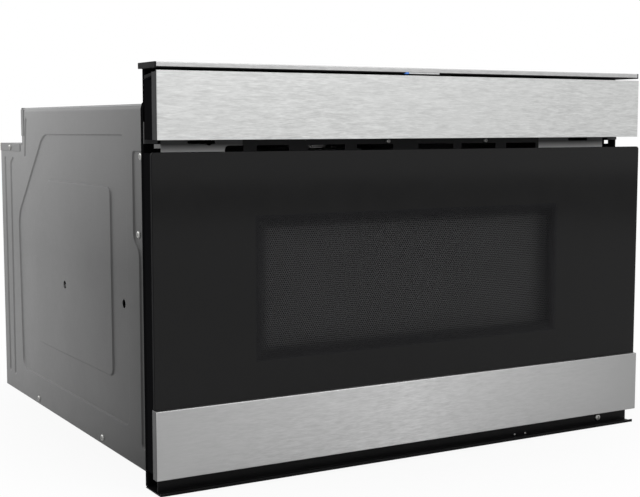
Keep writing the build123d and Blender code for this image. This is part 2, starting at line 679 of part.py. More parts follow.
with BuildPart() as bottom_trim:
    half, web_half = BOTTOM_TRIM_WIDTH / 2, BOTTOM_WEB_WIDTH / 2
    slab((-half, half), (BOTTOM_TRIM_FRONT, FLANGE_DEPTH), (0, BOTTOM_TRIM_SHEET))
    slab((-half, half), (BOTTOM_TRIM_FRONT, BOTTOM_TRIM_FRONT + BOTTOM_TRIM_SHEET), (0, BOTTOM_TRIM_LIP))
    web = (BOTTOM_WEB_DEPTH, BOTTOM_WEB_DEPTH + BOTTOM_TRIM_SHEET)
    slab((-web_half, web_half), web, (0, BOTTOM_WEB_HEIGHT))

# ------------------------------------------------------------------ body sheets
SIDE_OUTLINE = [
    (BODY_FRONT, 0),
    (BODY_FRONT, BODY_HEIGHT),
    (STEP_DEPTH - SHEET, BODY_HEIGHT),
    (STEP_DEPTH - SHEET, STEP_HEIGHT - SHEET),
    (BODY_BACK, STEP_HEIGHT - SHEET),
    (BODY_BACK, 0),
]
OUTER_EMBOSS = [
    (STEP_DEPTH - 83.4, BODY_HEIGHT - 32),
    (133.5, BODY_HEIGHT - 30),
    (132, 35.6),
    (DEPTH - 77.5, 34.7),
    (DEPTH - 72, STEP_HEIGHT - 91),
]
INNER_EMBOSS = [
    (STEP_DEPTH - 98.3, BODY_HEIGHT - 86),
    (188, BODY_HEIGHT - 85),
    (180, BODY_HEIGHT - 96),
    (179.6, 80.3),
    (DEPTH - 144, 79.4),
    (DEPTH - 138, STEP_HEIGHT - 92.3),
]
REAR_RIB = [
    (DEPTH - 19.5, STEP_HEIGHT - 18),
    (DEPTH - 53, STEP_HEIGHT - 22),
    (DEPTH - 46, STEP_HEIGHT - 37),
    (DEPTH - 46, 22),
    (DEPTH - 19.5, 21),
]
SIDE_HOLES = [(334.0, 163.0), (148.7, 163.8)]


def emboss_outline(points, radius, growth=0.0, straight=False, mode=Mode.ADD):
    """A closed outline on the side panel with its corners eased or cut straight, grown or shrunk."""
    with BuildSketch(mode=Mode.PRIVATE) as outline:
        if straight:
            Polygon(*along_side(points), align=None)
            chamfer(outline.vertices(), radius)
        else:
            Polygon(*eased_outline(along_side(points), radius), align=None)
        if growth:
            offset(amount=growth, kind=Kind.INTERSECTION)
    add(outline.sketch, mode=mode)


with BuildPart() as side_panel_right:
    with BuildSketch(beside(HALF_BODY - SHEET)):
        Polygon(*along_side(SIDE_OUTLINE), align=None)
    extrude(amount=SHEET)
    with BuildSketch(beside(HALF_BODY)):
        emboss_outline(OUTER_EMBOSS, EMBOSS_RADIUS)
    extrude(amount=EMBOSS, taper=45)
    with BuildSketch(beside(HALF_BODY)):
        emboss_outline(REAR_RIB, SIDE_RIB_RADIUS, straight=True)
    extrude(amount=SIDE_RIB_HEIGHT, taper=45)
    with BuildSketch(beside(HALF_BODY + EMBOSS)):
        emboss_outline(INNER_EMBOSS, EMBOSS_RADIUS / 2)
    extrude(amount=-EMBOSS, taper=45, mode=Mode.SUBTRACT)
    with BuildSketch(beside(HALF_BODY - SHEET)):
        emboss_outline(OUTER_EMBOSS, EMBOSS_RADIUS, -0.6 * SHEET - EMBOSS, True)
        emboss_outline(INNER_EMBOSS, EMBOSS_RADIUS / 2, EMBOSS, True, Mode.SUBTRACT)
    extrude(amount=EMBOSS, mode=Mode.SUBTRACT)
    press = (y_at(BODY_FRONT), y_at(FRONT_PRESS_END), FRONT_PRESS_LOW, BODY_HEIGHT - FRONT_PRESS_DROP)
    with BuildSketch(beside(HALF_BODY - SHEET)):
        span(press[0], press[1] + SHEET, press[2] - SHEET, press[3] + SHEET)
    extrude(amount=-EMBOSS)
    with BuildSketch(beside(HALF_BODY)) as pressed:
        span(*press)
        chamfer(pressed.vertices().group_by(Axis.X)[-1], EMBOSS_RADIUS / 2)
    extrude(amount=-EMBOSS, mode=Mode.SUBTRACT)
    with BuildSketch(beside(HALF_BODY + EMBOSS)):
        with Locations(*along_side(SIDE_HOLES)):
            RegularPolygon(SIDE_HOLE_RADIUS, SCREW_HEAD_SIDES)
    extrude(amount=-3 * EMBOSS, mode=Mode.SUBTRACT)

with BuildPart() as side_panel_left:
    add(mirrored(side_panel_right.part))

with BuildPart() as top_cover:
    slab((-INSIDE, INSIDE), (BODY_FRONT, STEP_DEPTH - SHEET), (BODY_HEIGHT - SHEET, BODY_HEIGHT))
    for side in (-1, 1):
        hem = sorted((side * INSIDE, side * (INSIDE - SHEET)))
        slab(hem, (BODY_FRONT, STEP_DEPTH - SHEET), (BODY_HEIGHT - HEM, BODY_HEIGHT))
    rib_length = STEP_DEPTH - BODY_FRONT - 2 * TOP_RIB_END
    for top, step in ((BODY_HEIGHT - SHEET, 0), (BODY_HEIGHT, SHEET)):
        with BuildSketch(Plane.XY.offset(top)):
            with Locations((0, y_at((BODY_FRONT + STEP_DEPTH) / 2))):
                with GridLocations(TOP_RIB_PITCH, 1, 4, 1):
                    Rectangle(TOP_RIB_WIDTH - 2 * step, rib_length - 2 * step)
        extrude(amount=-SHEET, taper=45, mode=Mode.SUBTRACT if step else Mode.ADD)

with BuildPart() as rear_step_cover:
    slab((-HALF_BODY, HALF_BODY), (STEP_DEPTH - SHEET, STEP_DEPTH), (STEP_HEIGHT - SHEET, BODY_HEIGHT))
    slab((-HALF_BODY, HALF_BODY), (STEP_DEPTH - SHEET, DEPTH), (STEP_HEIGHT - SHEET, STEP_HEIGHT))
    for side in (-1, 1):
        flange = sorted((side * HALF_BODY, side * (HALF_BODY + STEP_FLANGE_SHEET)))
        slab(flange, (STEP_DEPTH + STEP_FLANGE_GAP, DEPTH), (STEP_HEIGHT - STEP_FLANGE, STEP_HEIGHT))
        upright_z = (STEP_HEIGHT + STEP_FLANGE, BODY_HEIGHT - 2 * SHEET)
        slab(flange, (STEP_DEPTH - STEP_FLANGE, STEP_DEPTH), upright_z)


def inlet_outline(growth):
    """The cord inlet's neck with its corners cut off, grown evenly all round."""
    with BuildSketch(mode=Mode.PRIVATE) as outline:
        Rectangle(CORD_INLET_WIDTH, CORD_INLET_HEIGHT)
        chamfer(outline.vertices(), CORD_INLET_RIM)
        if growth:
            offset(amount=growth, kind=Kind.INTERSECTION)
    with Locations((CORD_INLET_X, CORD_INLET_Z)):
        add(outline.sketch)


with BuildPart() as back_plate:
    slab((-HALF_BODY, HALF_BODY), (BODY_BACK, DEPTH), (0, STEP_HEIGHT - SHEET))
    for side in (-1, 1):
        hem = sorted((side * INSIDE, side * (INSIDE - SHEET)))
        slab(hem, (BODY_BACK - HEM, BODY_BACK), (HEM, STEP_HEIGHT - 2 * HEM))
    with BuildSketch(facing(DEPTH)):
        with Locations(*[(FAN_X + group, FAN_Z) for group in VENT_GROUPS]):
            with GridLocations(VENT_SLOT_PITCH, 1, VENT_SLOTS_BACK, 1):
                Rectangle(VENT_SLOT_WIDTH, VENT_SLOT_LENGTH)
        inlet_outline(FIT_GAP)
    extrude(amount=SHEET, mode=Mode.SUBTRACT)

with BuildPart() as cord_inlet:
    with BuildSketch(facing(DEPTH)):
        inlet_outline(0)
    extrude(amount=SHEET)
    with BuildSketch(facing(BODY_BACK)):
        inlet_outline(CORD_INLET_RIM)
    extrude(amount=CORD_INLET_LENGTH)
    with BuildSketch(facing(DEPTH)):
        with Locations((CORD_INLET_X, CORD_INLET_Z)):
            Rectangle(CORD_SLOT_WIDTH, CORD_SLOT_HEIGHT)
    extrude(amount=SHEET + CORD_INLET_LENGTH, mode=Mode.SUBTRACT)

with BuildPart() as base_plate:
    slab((-INSIDE, INSIDE), (BODY_FRONT, BODY_BACK), (0, SHEET))
    for side in (-1, 1):
        hem = sorted((side * INSIDE, side * (INSIDE - SHEET)))
        slab(hem, (BODY_FRONT, BODY_BACK), (0, HEM))
    slab((-INSIDE, INSIDE), (BODY_BACK - SHEET, BODY_BACK), (0, HEM - SHEET))
    with BuildSketch(Plane.XY):
        with Locations((FAN_X, y_at(FAN_DEPTH)), (CAPACITOR_X - 60, y_at(CAVITY_BACK - HEM * 2))):
            with GridLocations(VENT_SLOT_PITCH, 1, VENT_SLOTS_BASE, 1):
                Rectangle(VENT_SLOT_WIDTH, BASE_SLOT_LENGTH)
    extrude(amount=SHEET, mode=Mode.SUBTRACT)

# ------------------------------------------------------------------ oven cavity
with BuildPart() as oven_cavity:
    middle = (0, CAVITY_FLOOR + CAVITY_HEIGHT / 2)
    with BuildSketch(facing(BODY_FRONT)):
        with Locations(middle):
            eased_rectangle(CAVITY_WIDTH + 2 * SHEET, CAVITY_HEIGHT + 2 * SHEET, CAVITY_RADIUS + SHEET)
    extrude(amount=-CAVITY_DEPTH - SHEET)
    with BuildSketch(facing(BODY_FRONT)):
        with Locations(middle):
            Rectangle(CAVITY_WIDTH + 2 * CAVITY_COLLAR, CAVITY_HEIGHT + 2 * CAVITY_COLLAR)
    extrude(amount=-SHEET)
    with BuildSketch(facing(BODY_FRONT)):
        with Locations(middle):
            eased_rectangle(CAVITY_WIDTH, CAVITY_HEIGHT, CAVITY_RADIUS)
    extrude(amount=-CAVITY_DEPTH, mode=Mode.SUBTRACT)
    with BuildSketch(Plane.XY.offset(CAVITY_TOP - SHEET)):
        with Locations((0, y_at(STIRRER_DEPTH))):
            RegularPolygon(STIRRER_APERTURE, ROD_SIDES)
    extrude(amount=3 * SHEET, mode=Mode.SUBTRACT)
    for x, depth in ((-CAVITY_HALF - 2 * SHEET, CAVITY_BACK - AIR_INLET_INSET), (CAVITY_HALF - SHEET, LAMP_DEPTH)):
        with BuildSketch(beside(x)):
            with Locations((y_at(depth), CAVITY_TOP - AIR_HOLES_DROP)):
                with GridLocations(AIR_HOLE_PITCH, AIR_HOLE_PITCH, *AIR_HOLES):
                    Rectangle(AIR_HOLE, AIR_HOLE)
        extrude(amount=3 * SHEET, mode=Mode.SUBTRACT)

with BuildPart() as waveguide_cover:
    half = MICA_SIZE / 2
    mica_z = (CAVITY_TOP - MICA_THICKNESS, CAVITY_TOP)
    slab((-half, half), (STIRRER_DEPTH - half, STIRRER_DEPTH + half), mica_z)

with BuildPart() as waveguide:
    half = GUIDE_WIDTH / 2
    guide = (STIRRER_DEPTH - GUIDE_BEFORE_STIRRER, REAR_PARTS + GUIDE_BEHIND_MAGNETRON)
    slab((-half, half), guide, (CEILING, GUIDE_TOP))
    hollow = (CEILING + SHEET, GUIDE_TOP - SHEET)
    slab((SHEET - half, half - SHEET), (guide[0] + SHEET, guide[1] - SHEET), hollow, Mode.SUBTRACT)
    with BuildSketch(Plane.XY.offset(CEILING)):
        with Locations((0, y_at(STIRRER_DEPTH))):
            RegularPolygon(STIRRER_APERTURE, ROD_SIDES)
        with Locations((0, y_at(REAR_PARTS))):
            RegularPolygon(ANTENNA_HOLE, BORE_SIDES)
    extrude(amount=SHEET, mode=Mode.SUBTRACT)
    with Locations((0, y_at(STIRRER_DEPTH), GUIDE_TOP - SHEET)):
        standing_rod(STIRRER_SHAFT + SHEET, SHEET, Mode.SUBTRACT, BORE_SIDES)

BLADE_Z = CEILING + STIRRER_LIFT
with BuildPart() as stirrer_blade:
    with BuildSketch(Plane.XY.offset(BLADE_Z)):
        with Locations((0, y_at(STIRRER_DEPTH))):
            RegularPolygon(STIRRER_HUB, BORE_SIDES)
            with PolarLocations(STIRRER_RADIUS * 0.6, 3):
                Rectangle(STIRRER_RADIUS * 0.7, STIRRER_BLADE_WIDTH)
    extrude(amount=STIRRER_BLADE_SHEET)
    with Locations((0, y_at(STIRRER_DEPTH), BLADE_Z)):
        Cylinder(STIRRER_SHAFT, GUIDE_TOP - BLADE_Z + SHAFT_ENTRY, align=(Align.CENTER, Align.CENTER, Align.MIN))

with BuildPart() as stirrer_motor:
    with Locations((0, y_at(STIRRER_DEPTH), GUIDE_TOP)):
        standing_rod(STIRRER_MOTOR_RADIUS, STIRRER_MOTOR_HEIGHT)
        standing_block((2 * (STIRRER_MOTOR_RADIUS + STIRRER_MOTOR_EAR), STIRRER_EAR_WIDTH, STIRRER_EAR_SHEET))
        standing_rod(STIRRER_SHAFT + 4 * SHAFT_CLEARANCE, SHAFT_ENTRY + SHEET, Mode.SUBTRACT, BORE_SIDES)

# ------------------------------------------------------------------ magnetron
YOKE_LOW = CEILING - MAGNETRON_HEIGHT
with BuildPart() as magnetron_yoke:
    half = MAGNETRON_WIDTH / 2
    yoke = (REAR_PARTS - MAGNETRON_LENGTH / 2, REAR_PARTS + MAGNETRON_LENGTH / 2)
    yoke_open = (yoke[0] + YOKE_SHEET, yoke[1] - YOKE_SHEET)
    slab((-half, half), yoke, (YOKE_LOW, CEILING))
    slab((-half, half), yoke_open, (YOKE_LOW + YOKE_SHEET, CEILING - YOKE_SHEET), Mode.SUBTRACT)
    with Locations((0, y_at(REAR_PARTS), CEILING - YOKE_SHEET)):
        standing_rod(ANTENNA_RADIUS + SHEET, YOKE_SHEET, Mode.SUBTRACT, BORE_SIDES)
    box_half = half - FILTER_BOX_SIDE
    box_depth = (yoke[0] + FILTER_BOX_INSET, yoke[1] - FILTER_BOX_INSET)
    slab((-box_half, box_half), box_depth, (YOKE_LOW - FILTER_BOX_HEIGHT, YOKE_LOW))

with BuildPart() as magnetron_core:
    low, high = YOKE_LOW + YOKE_SHEET, CEILING - YOKE_SHEET
    for z in (low, high - MAGNET_HEIGHT):
        with Locations((0, y_at(REAR_PARTS), z)):
            standing_rod(MAGNET_RADIUS, MAGNET_HEIGHT)
    with Locations((0, y_at(REAR_PARTS), low + MAGNET_HEIGHT)):
        standing_block((ANODE_SIZE, ANODE_SIZE, high - low - 2 * MAGNET_HEIGHT))
    with Locations((0, y_at(REAR_PARTS), high)):
        standing_rod(ANTENNA_RADIUS, ANTENNA_LENGTH, sides=BORE_SIDES)
    fin_pitch = (high - low - 2 * MAGNET_HEIGHT) / (FIN_COUNT + 1)
    fin_size = (MAGNETRON_WIDTH - 4 * FIN_GAP, MAGNETRON_LENGTH - 2 * YOKE_SHEET - 2 * FIN_GAP, FIN_THICKNESS)
    for index in range(FIN_COUNT):
        with Locations((0, y_at(REAR_PARTS), low + MAGNET_HEIGHT + fin_pitch * (index + 1) - FIN_THICKNESS / 2)):
            standing_block(fin_size)

# ------------------------------------------------------------------ high voltage and fan
with BuildPart() as hv_transformer_core:
    half, limb = TRANSFORMER_WIDTH / 2, TRANSFORMER_LIMB
    stack = (REAR_PARTS - TRANSFORMER_STACK / 2, REAR_PARTS + TRANSFORMER_STACK / 2)
    core_top = SHEET + TRANSFORMER_HEIGHT
    slab((TRANSFORMER_X - half, TRANSFORMER_X + half), stack, (SHEET, core_top))
    for side in (-1, 1):
        window = sorted((TRANSFORMER_X + side * limb, TRANSFORMER_X + side * (half - limb)))
        slab(window, stack, (SHEET + limb, core_top - limb), Mode.SUBTRACT)

with BuildPart() as hv_transformer_coils:
    coil_half = TRANSFORMER_WIDTH / 2 - TRANSFORMER_LIMB
    coil_z = (SHEET + TRANSFORMER_LIMB, core_top - TRANSFORMER_LIMB)
    for low, high in ((coil_z[0], coil_z[0] + COIL_SPLIT - COIL_GAP), (coil_z[0] + COIL_SPLIT, coil_z[1])):
        with BuildSketch(Plane.XY.offset(low)):
            with Locations((TRANSFORMER_X, y_at(REAR_PARTS))):
                with BuildSketch(mode=Mode.PRIVATE) as winding:
                    Rectangle(2 * coil_half, TRANSFORMER_STACK + 2 * COIL_BULGE)
                    chamfer(winding.vertices(), COIL_CORNER)
                add(winding.sketch)
                Rectangle(2 * TRANSFORMER_LIMB, TRANSFORMER_STACK, mode=Mode.SUBTRACT)
        extrude(amount=high - low)

with BuildPart() as hv_capacitor:
    with BuildSketch(Plane.XY.offset(SHEET)):
        with Locations((CAPACITOR_X, y_at(REAR_PARTS))):
            eased_rectangle(CAPACITOR_WIDTH, CAPACITOR_THICKNESS, CAPACITOR_THICKNESS / 2.1)
    extrude(amount=CAPACITOR_HEIGHT)
    with Locations((CAPACITOR_X, y_at(REAR_PARTS), SHEET + CAPACITOR_HEIGHT)):
        with GridLocations(TERMINAL_PITCH, 1, 2, 1):
            standing_block((TERMINAL_WIDTH, TERMINAL_SHEET, TERMINAL_HEIGHT))

plate_half = FAN_RADIUS + FAN_TIP_GAP + FAN_RING_WALL + FAN_PLATE_RIM
with BuildPart() as fan_shroud:
    with BuildSketch(turned_at(FAN_X, FAN_DEPTH, FAN_Z)):
        Rectangle(2 * plate_half, 2 * plate_half)
        bore(FAN_RADIUS + FAN_TIP_GAP, 2 * BORE_SIDES)
    extrude(amount=-FAN_PLATE)
    with BuildSketch(turned_at(FAN_X, FAN_DEPTH, FAN_Z)):
        bore(FAN_RADIUS + FAN_TIP_GAP + FAN_RING_WALL, 2 * BORE_SIDES, Mode.ADD)
        bore(FAN_RADIUS + FAN_TIP_GAP, 2 * BORE_SIDES)
    extrude(amount=FAN_RING)
    plate_z = (FAN_Z - plate_half, FAN_Z + plate_half)
    slab((FAN_X - FAN_PLATE, FAN_X), (FAN_DEPTH + plate_half - FAN_PLATE, BODY_BACK), plate_z)
    slab((FAN_X - FAN_PLATE, FAN_X + HEM), (BODY_BACK - FAN_PLATE, BODY_BACK), plate_z)
    with BuildSketch(turned_at(FAN_X - FAN_PLATE, FAN_DEPTH, FAN_Z)):
        with GridLocations(2 * FAN_ARM_SPREAD, 2 * FAN_ARM_RISE, 2, 2):
            Rectangle(FAN_ARM, FAN_ARM)
    extrude(amount=-FAN_ARM)

with BuildPart() as fan_motor:
    motor_face = FAN_X - FAN_PLATE - FAN_ARM
    with BuildSketch(turned_at(motor_face, FAN_DEPTH, FAN_Z)):
        Rectangle(FAN_ARM, 2 * FAN_ARM_RISE)
        with GridLocations(1, 2 * FAN_ARM_RISE, 1, 2):
            Rectangle(2 * FAN_ARM_SPREAD + FAN_ARM, FAN_ARM)
        bore(FAN_SHAFT_RADIUS + SHAFT_CLEARANCE)
    extrude(amount=-MOTOR_PLATE)
    with BuildSketch(turned_at(motor_face - MOTOR_PLATE, FAN_DEPTH, FAN_Z)):
        Rectangle(FAN_MOTOR_SIZE, FAN_MOTOR_SIZE)
        bore(FAN_SHAFT_RADIUS + SHAFT_CLEARANCE)
    extrude(amount=-FAN_MOTOR_STACK)
    coil_x = motor_face - MOTOR_PLATE - FAN_MOTOR_STACK / 2
    with Locations((coil_x, y_at(FAN_DEPTH), FAN_Z - FAN_MOTOR_SIZE / 2 - FAN_COIL_HEIGHT)):
        standing_block((FAN_MOTOR_STACK * 0.8, FAN_COIL_WIDTH, FAN_COIL_HEIGHT))

blade_root = FAN_HUB_RADIUS - FAN_BLADE_SHEET
pitch = radians(FAN_BLADE_PITCH)
with BuildPart() as blade_form:
    with BuildSketch(Plane(origin=(0, 0, blade_root), x_dir=(cos(pitch), sin(pitch), 0), z_dir=(0, 0, 1))):
        with BuildLine():
            half = FAN_BLADE_CHORD / 2
            crown = FAN_BLADE_CAMBER + FAN_BLADE_SHEET
            lower = [(-half, 0), (0, FAN_BLADE_CAMBER), (half, 0)]
            Polyline(*lower, (half, FAN_BLADE_SHEET), (0, crown), (-half, FAN_BLADE_SHEET), close=True)
        make_face()
    extrude(amount=FAN_RADIUS - FAN_TIP_GAP - blade_root)

with BuildPart() as fan_blade:
    with BuildSketch(turned_at(FAN_X, FAN_DEPTH, FAN_Z)):
        RegularPolygon(FAN_HUB_RADIUS, 3 * FAN_BLADES)
    extrude(amount=FAN_HUB_LENGTH)
    for index in range(FAN_BLADES):
        turn = Location((FAN_X + FAN_RING / 2, y_at(FAN_DEPTH), FAN_Z), (360 / FAN_BLADES * index, 0, 0))
        add(blade_form.part.moved(turn))
    with BuildSketch(turned_at(FAN_X, FAN_DEPTH, FAN_Z)):
        Circle(FAN_SHAFT_RADIUS)
    extrude(amount=-FAN_PLATE - FAN_ARM - MOTOR_PLATE - FAN_MOTOR_STACK)

# ------------------------------------------------------------------ boards and small electrics
BOARD_Z = CEILING + BOARD_LIFT
BOARD_TOP = BOARD_Z + BOARD_THICKNESS


def board_on_posts(x, depth, size):
    """A printed board on four square posts that stand on the cavity's ceiling."""
    with Locations((x, y_at(depth), CEILING)):
        with GridLocations(size[0] - 2 * BOARD_POST_INSET, size[1] - 2 * BOARD_POST_INSET, 2, 2):
            standing_block((BOARD_POST, BOARD_POST, BOARD_LIFT))
    with Locations((x, y_at(depth), BOARD_Z)):
        standing_block((*size, BOARD_THICKNESS))


with BuildPart() as control_board:
    board_on_posts(CONTROL_BOARD_X, CONTROL_BOARD_DEPTH, CONTROL_BOARD)
    with Locations((CONTROL_BOARD_X + SUPPLY_X, y_at(CONTROL_BOARD_DEPTH), BOARD_TOP)):
        standing_block(SUPPLY_BLOCK)
    with Locations((CONTROL_BOARD_X + RELAYS_X, y_at(CONTROL_BOARD_DEPTH), BOARD_TOP)):
        with GridLocations(RELAY[0] + RELAY_GAP, RELAY[1] + RELAY_GAP, 2, 3):
            standing_block(RELAY)

with BuildPart() as noise_filter:
    board_on_posts(FILTER_X, FILTER_DEPTH, FILTER_BOARD)
    with Locations((FILTER_X + CHOKE_COIL_X, y_at(FILTER_DEPTH), BOARD_TOP)):
        standing_rod(CHOKE_COIL_RADIUS, CHOKE_COIL_HEIGHT)
    with Locations((FILTER_X + FILTER_CAPS_X, y_at(FILTER_DEPTH), BOARD_TOP)):
        with GridLocations(1, FILTER_CAP_PITCH, 1, 2):
            standing_block(FILTER_CAP)

SWITCH_LOW = PRONG_Z + PRONG_HEIGHT / 2 + PRONG_CLEARANCE + SWITCH_GAP
with BuildPart() as interlock_switches:
    for side in (-1, 1):
        case_x = (side * PRONG_X - PRONG_WIDTH / 2, side * PRONG_X + PRONG_WIDTH / 2)
        slab(case_x, (BODY_FRONT, BODY_FRONT + SWITCH_LENGTH), (SWITCH_LOW, SWITCH_LOW + SWITCH_HEIGHT))
        plunger_x = (side * PRONG_X - PLUNGER_SIZE / 2, side * PRONG_X + PLUNGER_SIZE / 2)
        plunger = (BODY_FRONT + PLUNGER_INSET, BODY_FRONT + PLUNGER_INSET + PLUNGER_SIZE)
        slab(plunger_x, plunger, (PRONG_Z + PRONG_HEIGHT / 2 + PLUNGER_GAP, SWITCH_LOW))

with BuildPart() as cavity_lamp:
    lamp_plane = turned_at(CAVITY_HALF + SHEET, LAMP_DEPTH, CAVITY_TOP - AIR_HOLES_DROP)
    with BuildSketch(lamp_plane):
        Rectangle(*LAMP_PLATE)
    extrude(amount=LAMP_PLATE_SHEET)
    with BuildSketch(lamp_plane):
        RegularPolygon(LAMP_RADIUS, ROD_SIDES)
    extrude(amount=LAMP_LENGTH)

with BuildPart() as thermal_cutouts:
    with Locations(*[(x, y_at(CUTOUT_DEPTH), CEILING) for x in CUTOUTS_X]):
        standing_rod(CUTOUT_RADIUS, CUTOUT_HEIGHT, sides=BORE_SIDES)
        standing_block(CUTOUT_TAB)

# ------------------------------------------------------------------ slides
slide_low, slide_high = SLIDE_Z - SLIDE_HEIGHT / 2, SLIDE_Z + SLIDE_HEIGHT / 2
CAGE_LENGTH = SLIDE_LENGTH - DRAWER_TRAVEL / 2 - CAGE_SHORTER


def c_channel(web, tip, low, high, lip):
    """A channel section: a web, two flanges that reach to the tip and a lip on each."""
    toward = 1 if tip > web else -1
    span(*sorted((web, web + toward * SLIDE_SHEET)), low, high)
    span(*sorted((web, tip)), low, low + SLIDE_SHEET)
    span(*sorted((web, tip)), high - SLIDE_SHEET, high)
    inner_tip = tip - toward * SLIDE_SHEET
    if lip:
        span(*sorted((inner_tip, tip)), low, low + SLIDE_SHEET + lip)
        span(*sorted((inner_tip, tip)), high - SLIDE_SHEET - lip, high)


MIDDLE_LOW = slide_low + SLIDE_SHEET + BALL_DIAMETER
MIDDLE_HIGH = slide_high - SLIDE_SHEET - BALL_DIAMETER
INNER_LOW = MIDDLE_LOW + SLIDE_SHEET + BALL_DIAMETER
INNER_HIGH = MIDDLE_HIGH - SLIDE_SHEET - BALL_DIAMETER
OUTER_TIP = SLIDE_INNER_X + OUTER_TIP_IN
MIDDLE_WEB = SLIDE_OUTER_X - SLIDE_SHEET - WEB_GAP
MIDDLE_TIP = SLIDE_INNER_X + MIDDLE_TIP_IN
INNER_TIP = MIDDLE_WEB - SLIDE_SHEET - WEB_GAP
slide_start = BODY_FRONT + SLIDE_START

with BuildPart() as slide_outer_members:
    with BuildSketch(facing(slide_start)):
        c_channel(SLIDE_OUTER_X, OUTER_TIP, slide_low, slide_high, LIP)
    extrude(amount=-SLIDE_LENGTH)
    add(mirrored(slide_outer_members.part))

with BuildPart() as slide_middle_members:
    with BuildSketch(facing(slide_start)):
        c_channel(MIDDLE_WEB, MIDDLE_TIP, MIDDLE_LOW, MIDDLE_HIGH, LIP)
    extrude(amount=-SLIDE_LENGTH)
    add(mirrored(slide_middle_members.part))

with BuildPart() as slide_inner_members:
    with BuildSketch(facing(DOOR_BACK)):
        c_channel(SLIDE_INNER_X, INNER_TIP, INNER_LOW, INNER_HIGH, 0)
    extrude(amount=-SLIDE_LENGTH)
    with BuildSketch(facing(DOOR_BACK)):
        span(SLIDE_INNER_X, SLIDE_INNER_X + SLIDE_TAB, INNER_LOW, INNER_HIGH)
    extrude(amount=-SLIDE_SHEET)
    add(mirrored(slide_inner_members.part))


def ball_cage(start, web, tip, low, high):
    """A bent strip that holds the balls between two slide members, above and below."""
    toward = 1 if tip > web else -1
    strip = (BALL_DIAMETER - CAGE_SHEET) / 2
    with BuildSketch(facing(start)) as section:
        span(*sorted((web, web + toward * CAGE_SHEET)), low + strip, high - strip)
        span(*sorted((web, tip)), low + strip, low + strip + CAGE_SHEET)
        span(*sorted((web, tip)), high - strip - CAGE_SHEET, high - strip)
    extrude(section.sketch, amount=-CAGE_LENGTH)
    with Locations(((web + tip) / 2 + toward, y_at(start + CAGE_LENGTH / 2), (low + high) / 2)):
        with GridLocations(1, CAGE_LENGTH / CAGE_WINDOWS, 1, CAGE_WINDOWS):
            Box(BALL_DIAMETER, BALL_DIAMETER, high - low, mode=Mode.SUBTRACT)


# each cage ends its travel where the two members it runs between still overlap
cage_start = slide_start + DRAWER_TRAVEL / 4
web_play = (WEB_GAP - CAGE_SHEET) / 2
with BuildPart() as ball_cages_outer:
    cage_z = (slide_low + SLIDE_SHEET, slide_high - SLIDE_SHEET)
    cage_tip = OUTER_TIP + SLIDE_SHEET + CAGE_LIP_GAP
    ball_cage(cage_start, SLIDE_OUTER_X - SLIDE_SHEET - web_play, cage_tip, *cage_z)
    add(mirrored(ball_cages_outer.part))

with BuildPart() as ball_cages_inner:
    cage_z = (MIDDLE_LOW + SLIDE_SHEET, MIDDLE_HIGH - SLIDE_SHEET)
    cage_tip = MIDDLE_TIP + SLIDE_SHEET + CAGE_LIP_GAP
    ball_cage(cage_start, MIDDLE_WEB - SLIDE_SHEET - web_play, cage_tip, *cage_z)
    add(mirrored(ball_cages_inner.part))

with BuildPart() as rail_brackets:
    bracket = (BODY_FRONT, slide_start + SLIDE_LENGTH - BRACKET_SHARE_END)
    slab((SLIDE_OUTER_X, SLIDE_OUTER_X + FRAME_SHEET), bracket, (SHEET, slide_high))
    slab((SLIDE_OUTER_X, INSIDE - SHEET), bracket, (SHEET, SHEET + FRAME_SHEET))
    with BuildSketch(beside(SLIDE_OUTER_X)):
        with Locations((y_at(sum(bracket) / 2), (SHEET + slide_low) / 2 + BRACKET_WINDOW_RISE)):
            with GridLocations(BRACKET_WINDOW_PITCH, 1, 3, 1):
                Rectangle(*BRACKET_WINDOW)
    extrude(amount=FRAME_SHEET, mode=Mode.SUBTRACT)
    add(mirrored(rail_brackets.part))

# ------------------------------------------------------------------ drawer drive
with BuildPart() as drawer_rack:
    rack_tip = RACK_PITCH_Z - RACK_ADDENDUM * MODULE
    rack = (DOOR_BACK, DOOR_BACK + RACK_LENGTH)
    slab((-RACK_WIDTH / 2, RACK_WIDTH / 2), rack, (RACK_ROOT, RACK_TOP))
    tooth_pitch = pi * MODULE
    root_half = tooth_pitch / 4 - BACKLASH / 2 + (RACK_ROOT - RACK_PITCH_Z) * tan(PRESSURE_ANGLE)
    tip_half = tooth_pitch / 4 - BACKLASH / 2 - (RACK_PITCH_Z - rack_tip) * tan(PRESSURE_ANGLE)
    teeth_before = int((PINION_DEPTH - rack[0] - tooth_pitch) / tooth_pitch)
    teeth_after = int((rack[1] - PINION_DEPTH - tooth_pitch) / tooth_pitch)
    root_z = RACK_ROOT + RACK_SINK
    with BuildSketch(beside(-RACK_WIDTH / 2)):
        for index in range(-teeth_before, teeth_after):
            y = y_at(PINION_DEPTH) + (index + 0.5) * tooth_pitch
            left = [(y - root_half, root_z), (y - tip_half, rack_tip)]
            right = [(y + tip_half, rack_tip), (y + root_half, root_z)]
            Polygon(*left, *right, align=None)
    extrude(amount=RACK_WIDTH)
    slab((-RACK_FOOT_WIDTH / 2, RACK_FOOT_WIDTH / 2), (rack[0], rack[0] + RACK_FOOT), (RACK_ROOT, RACK_TOP))

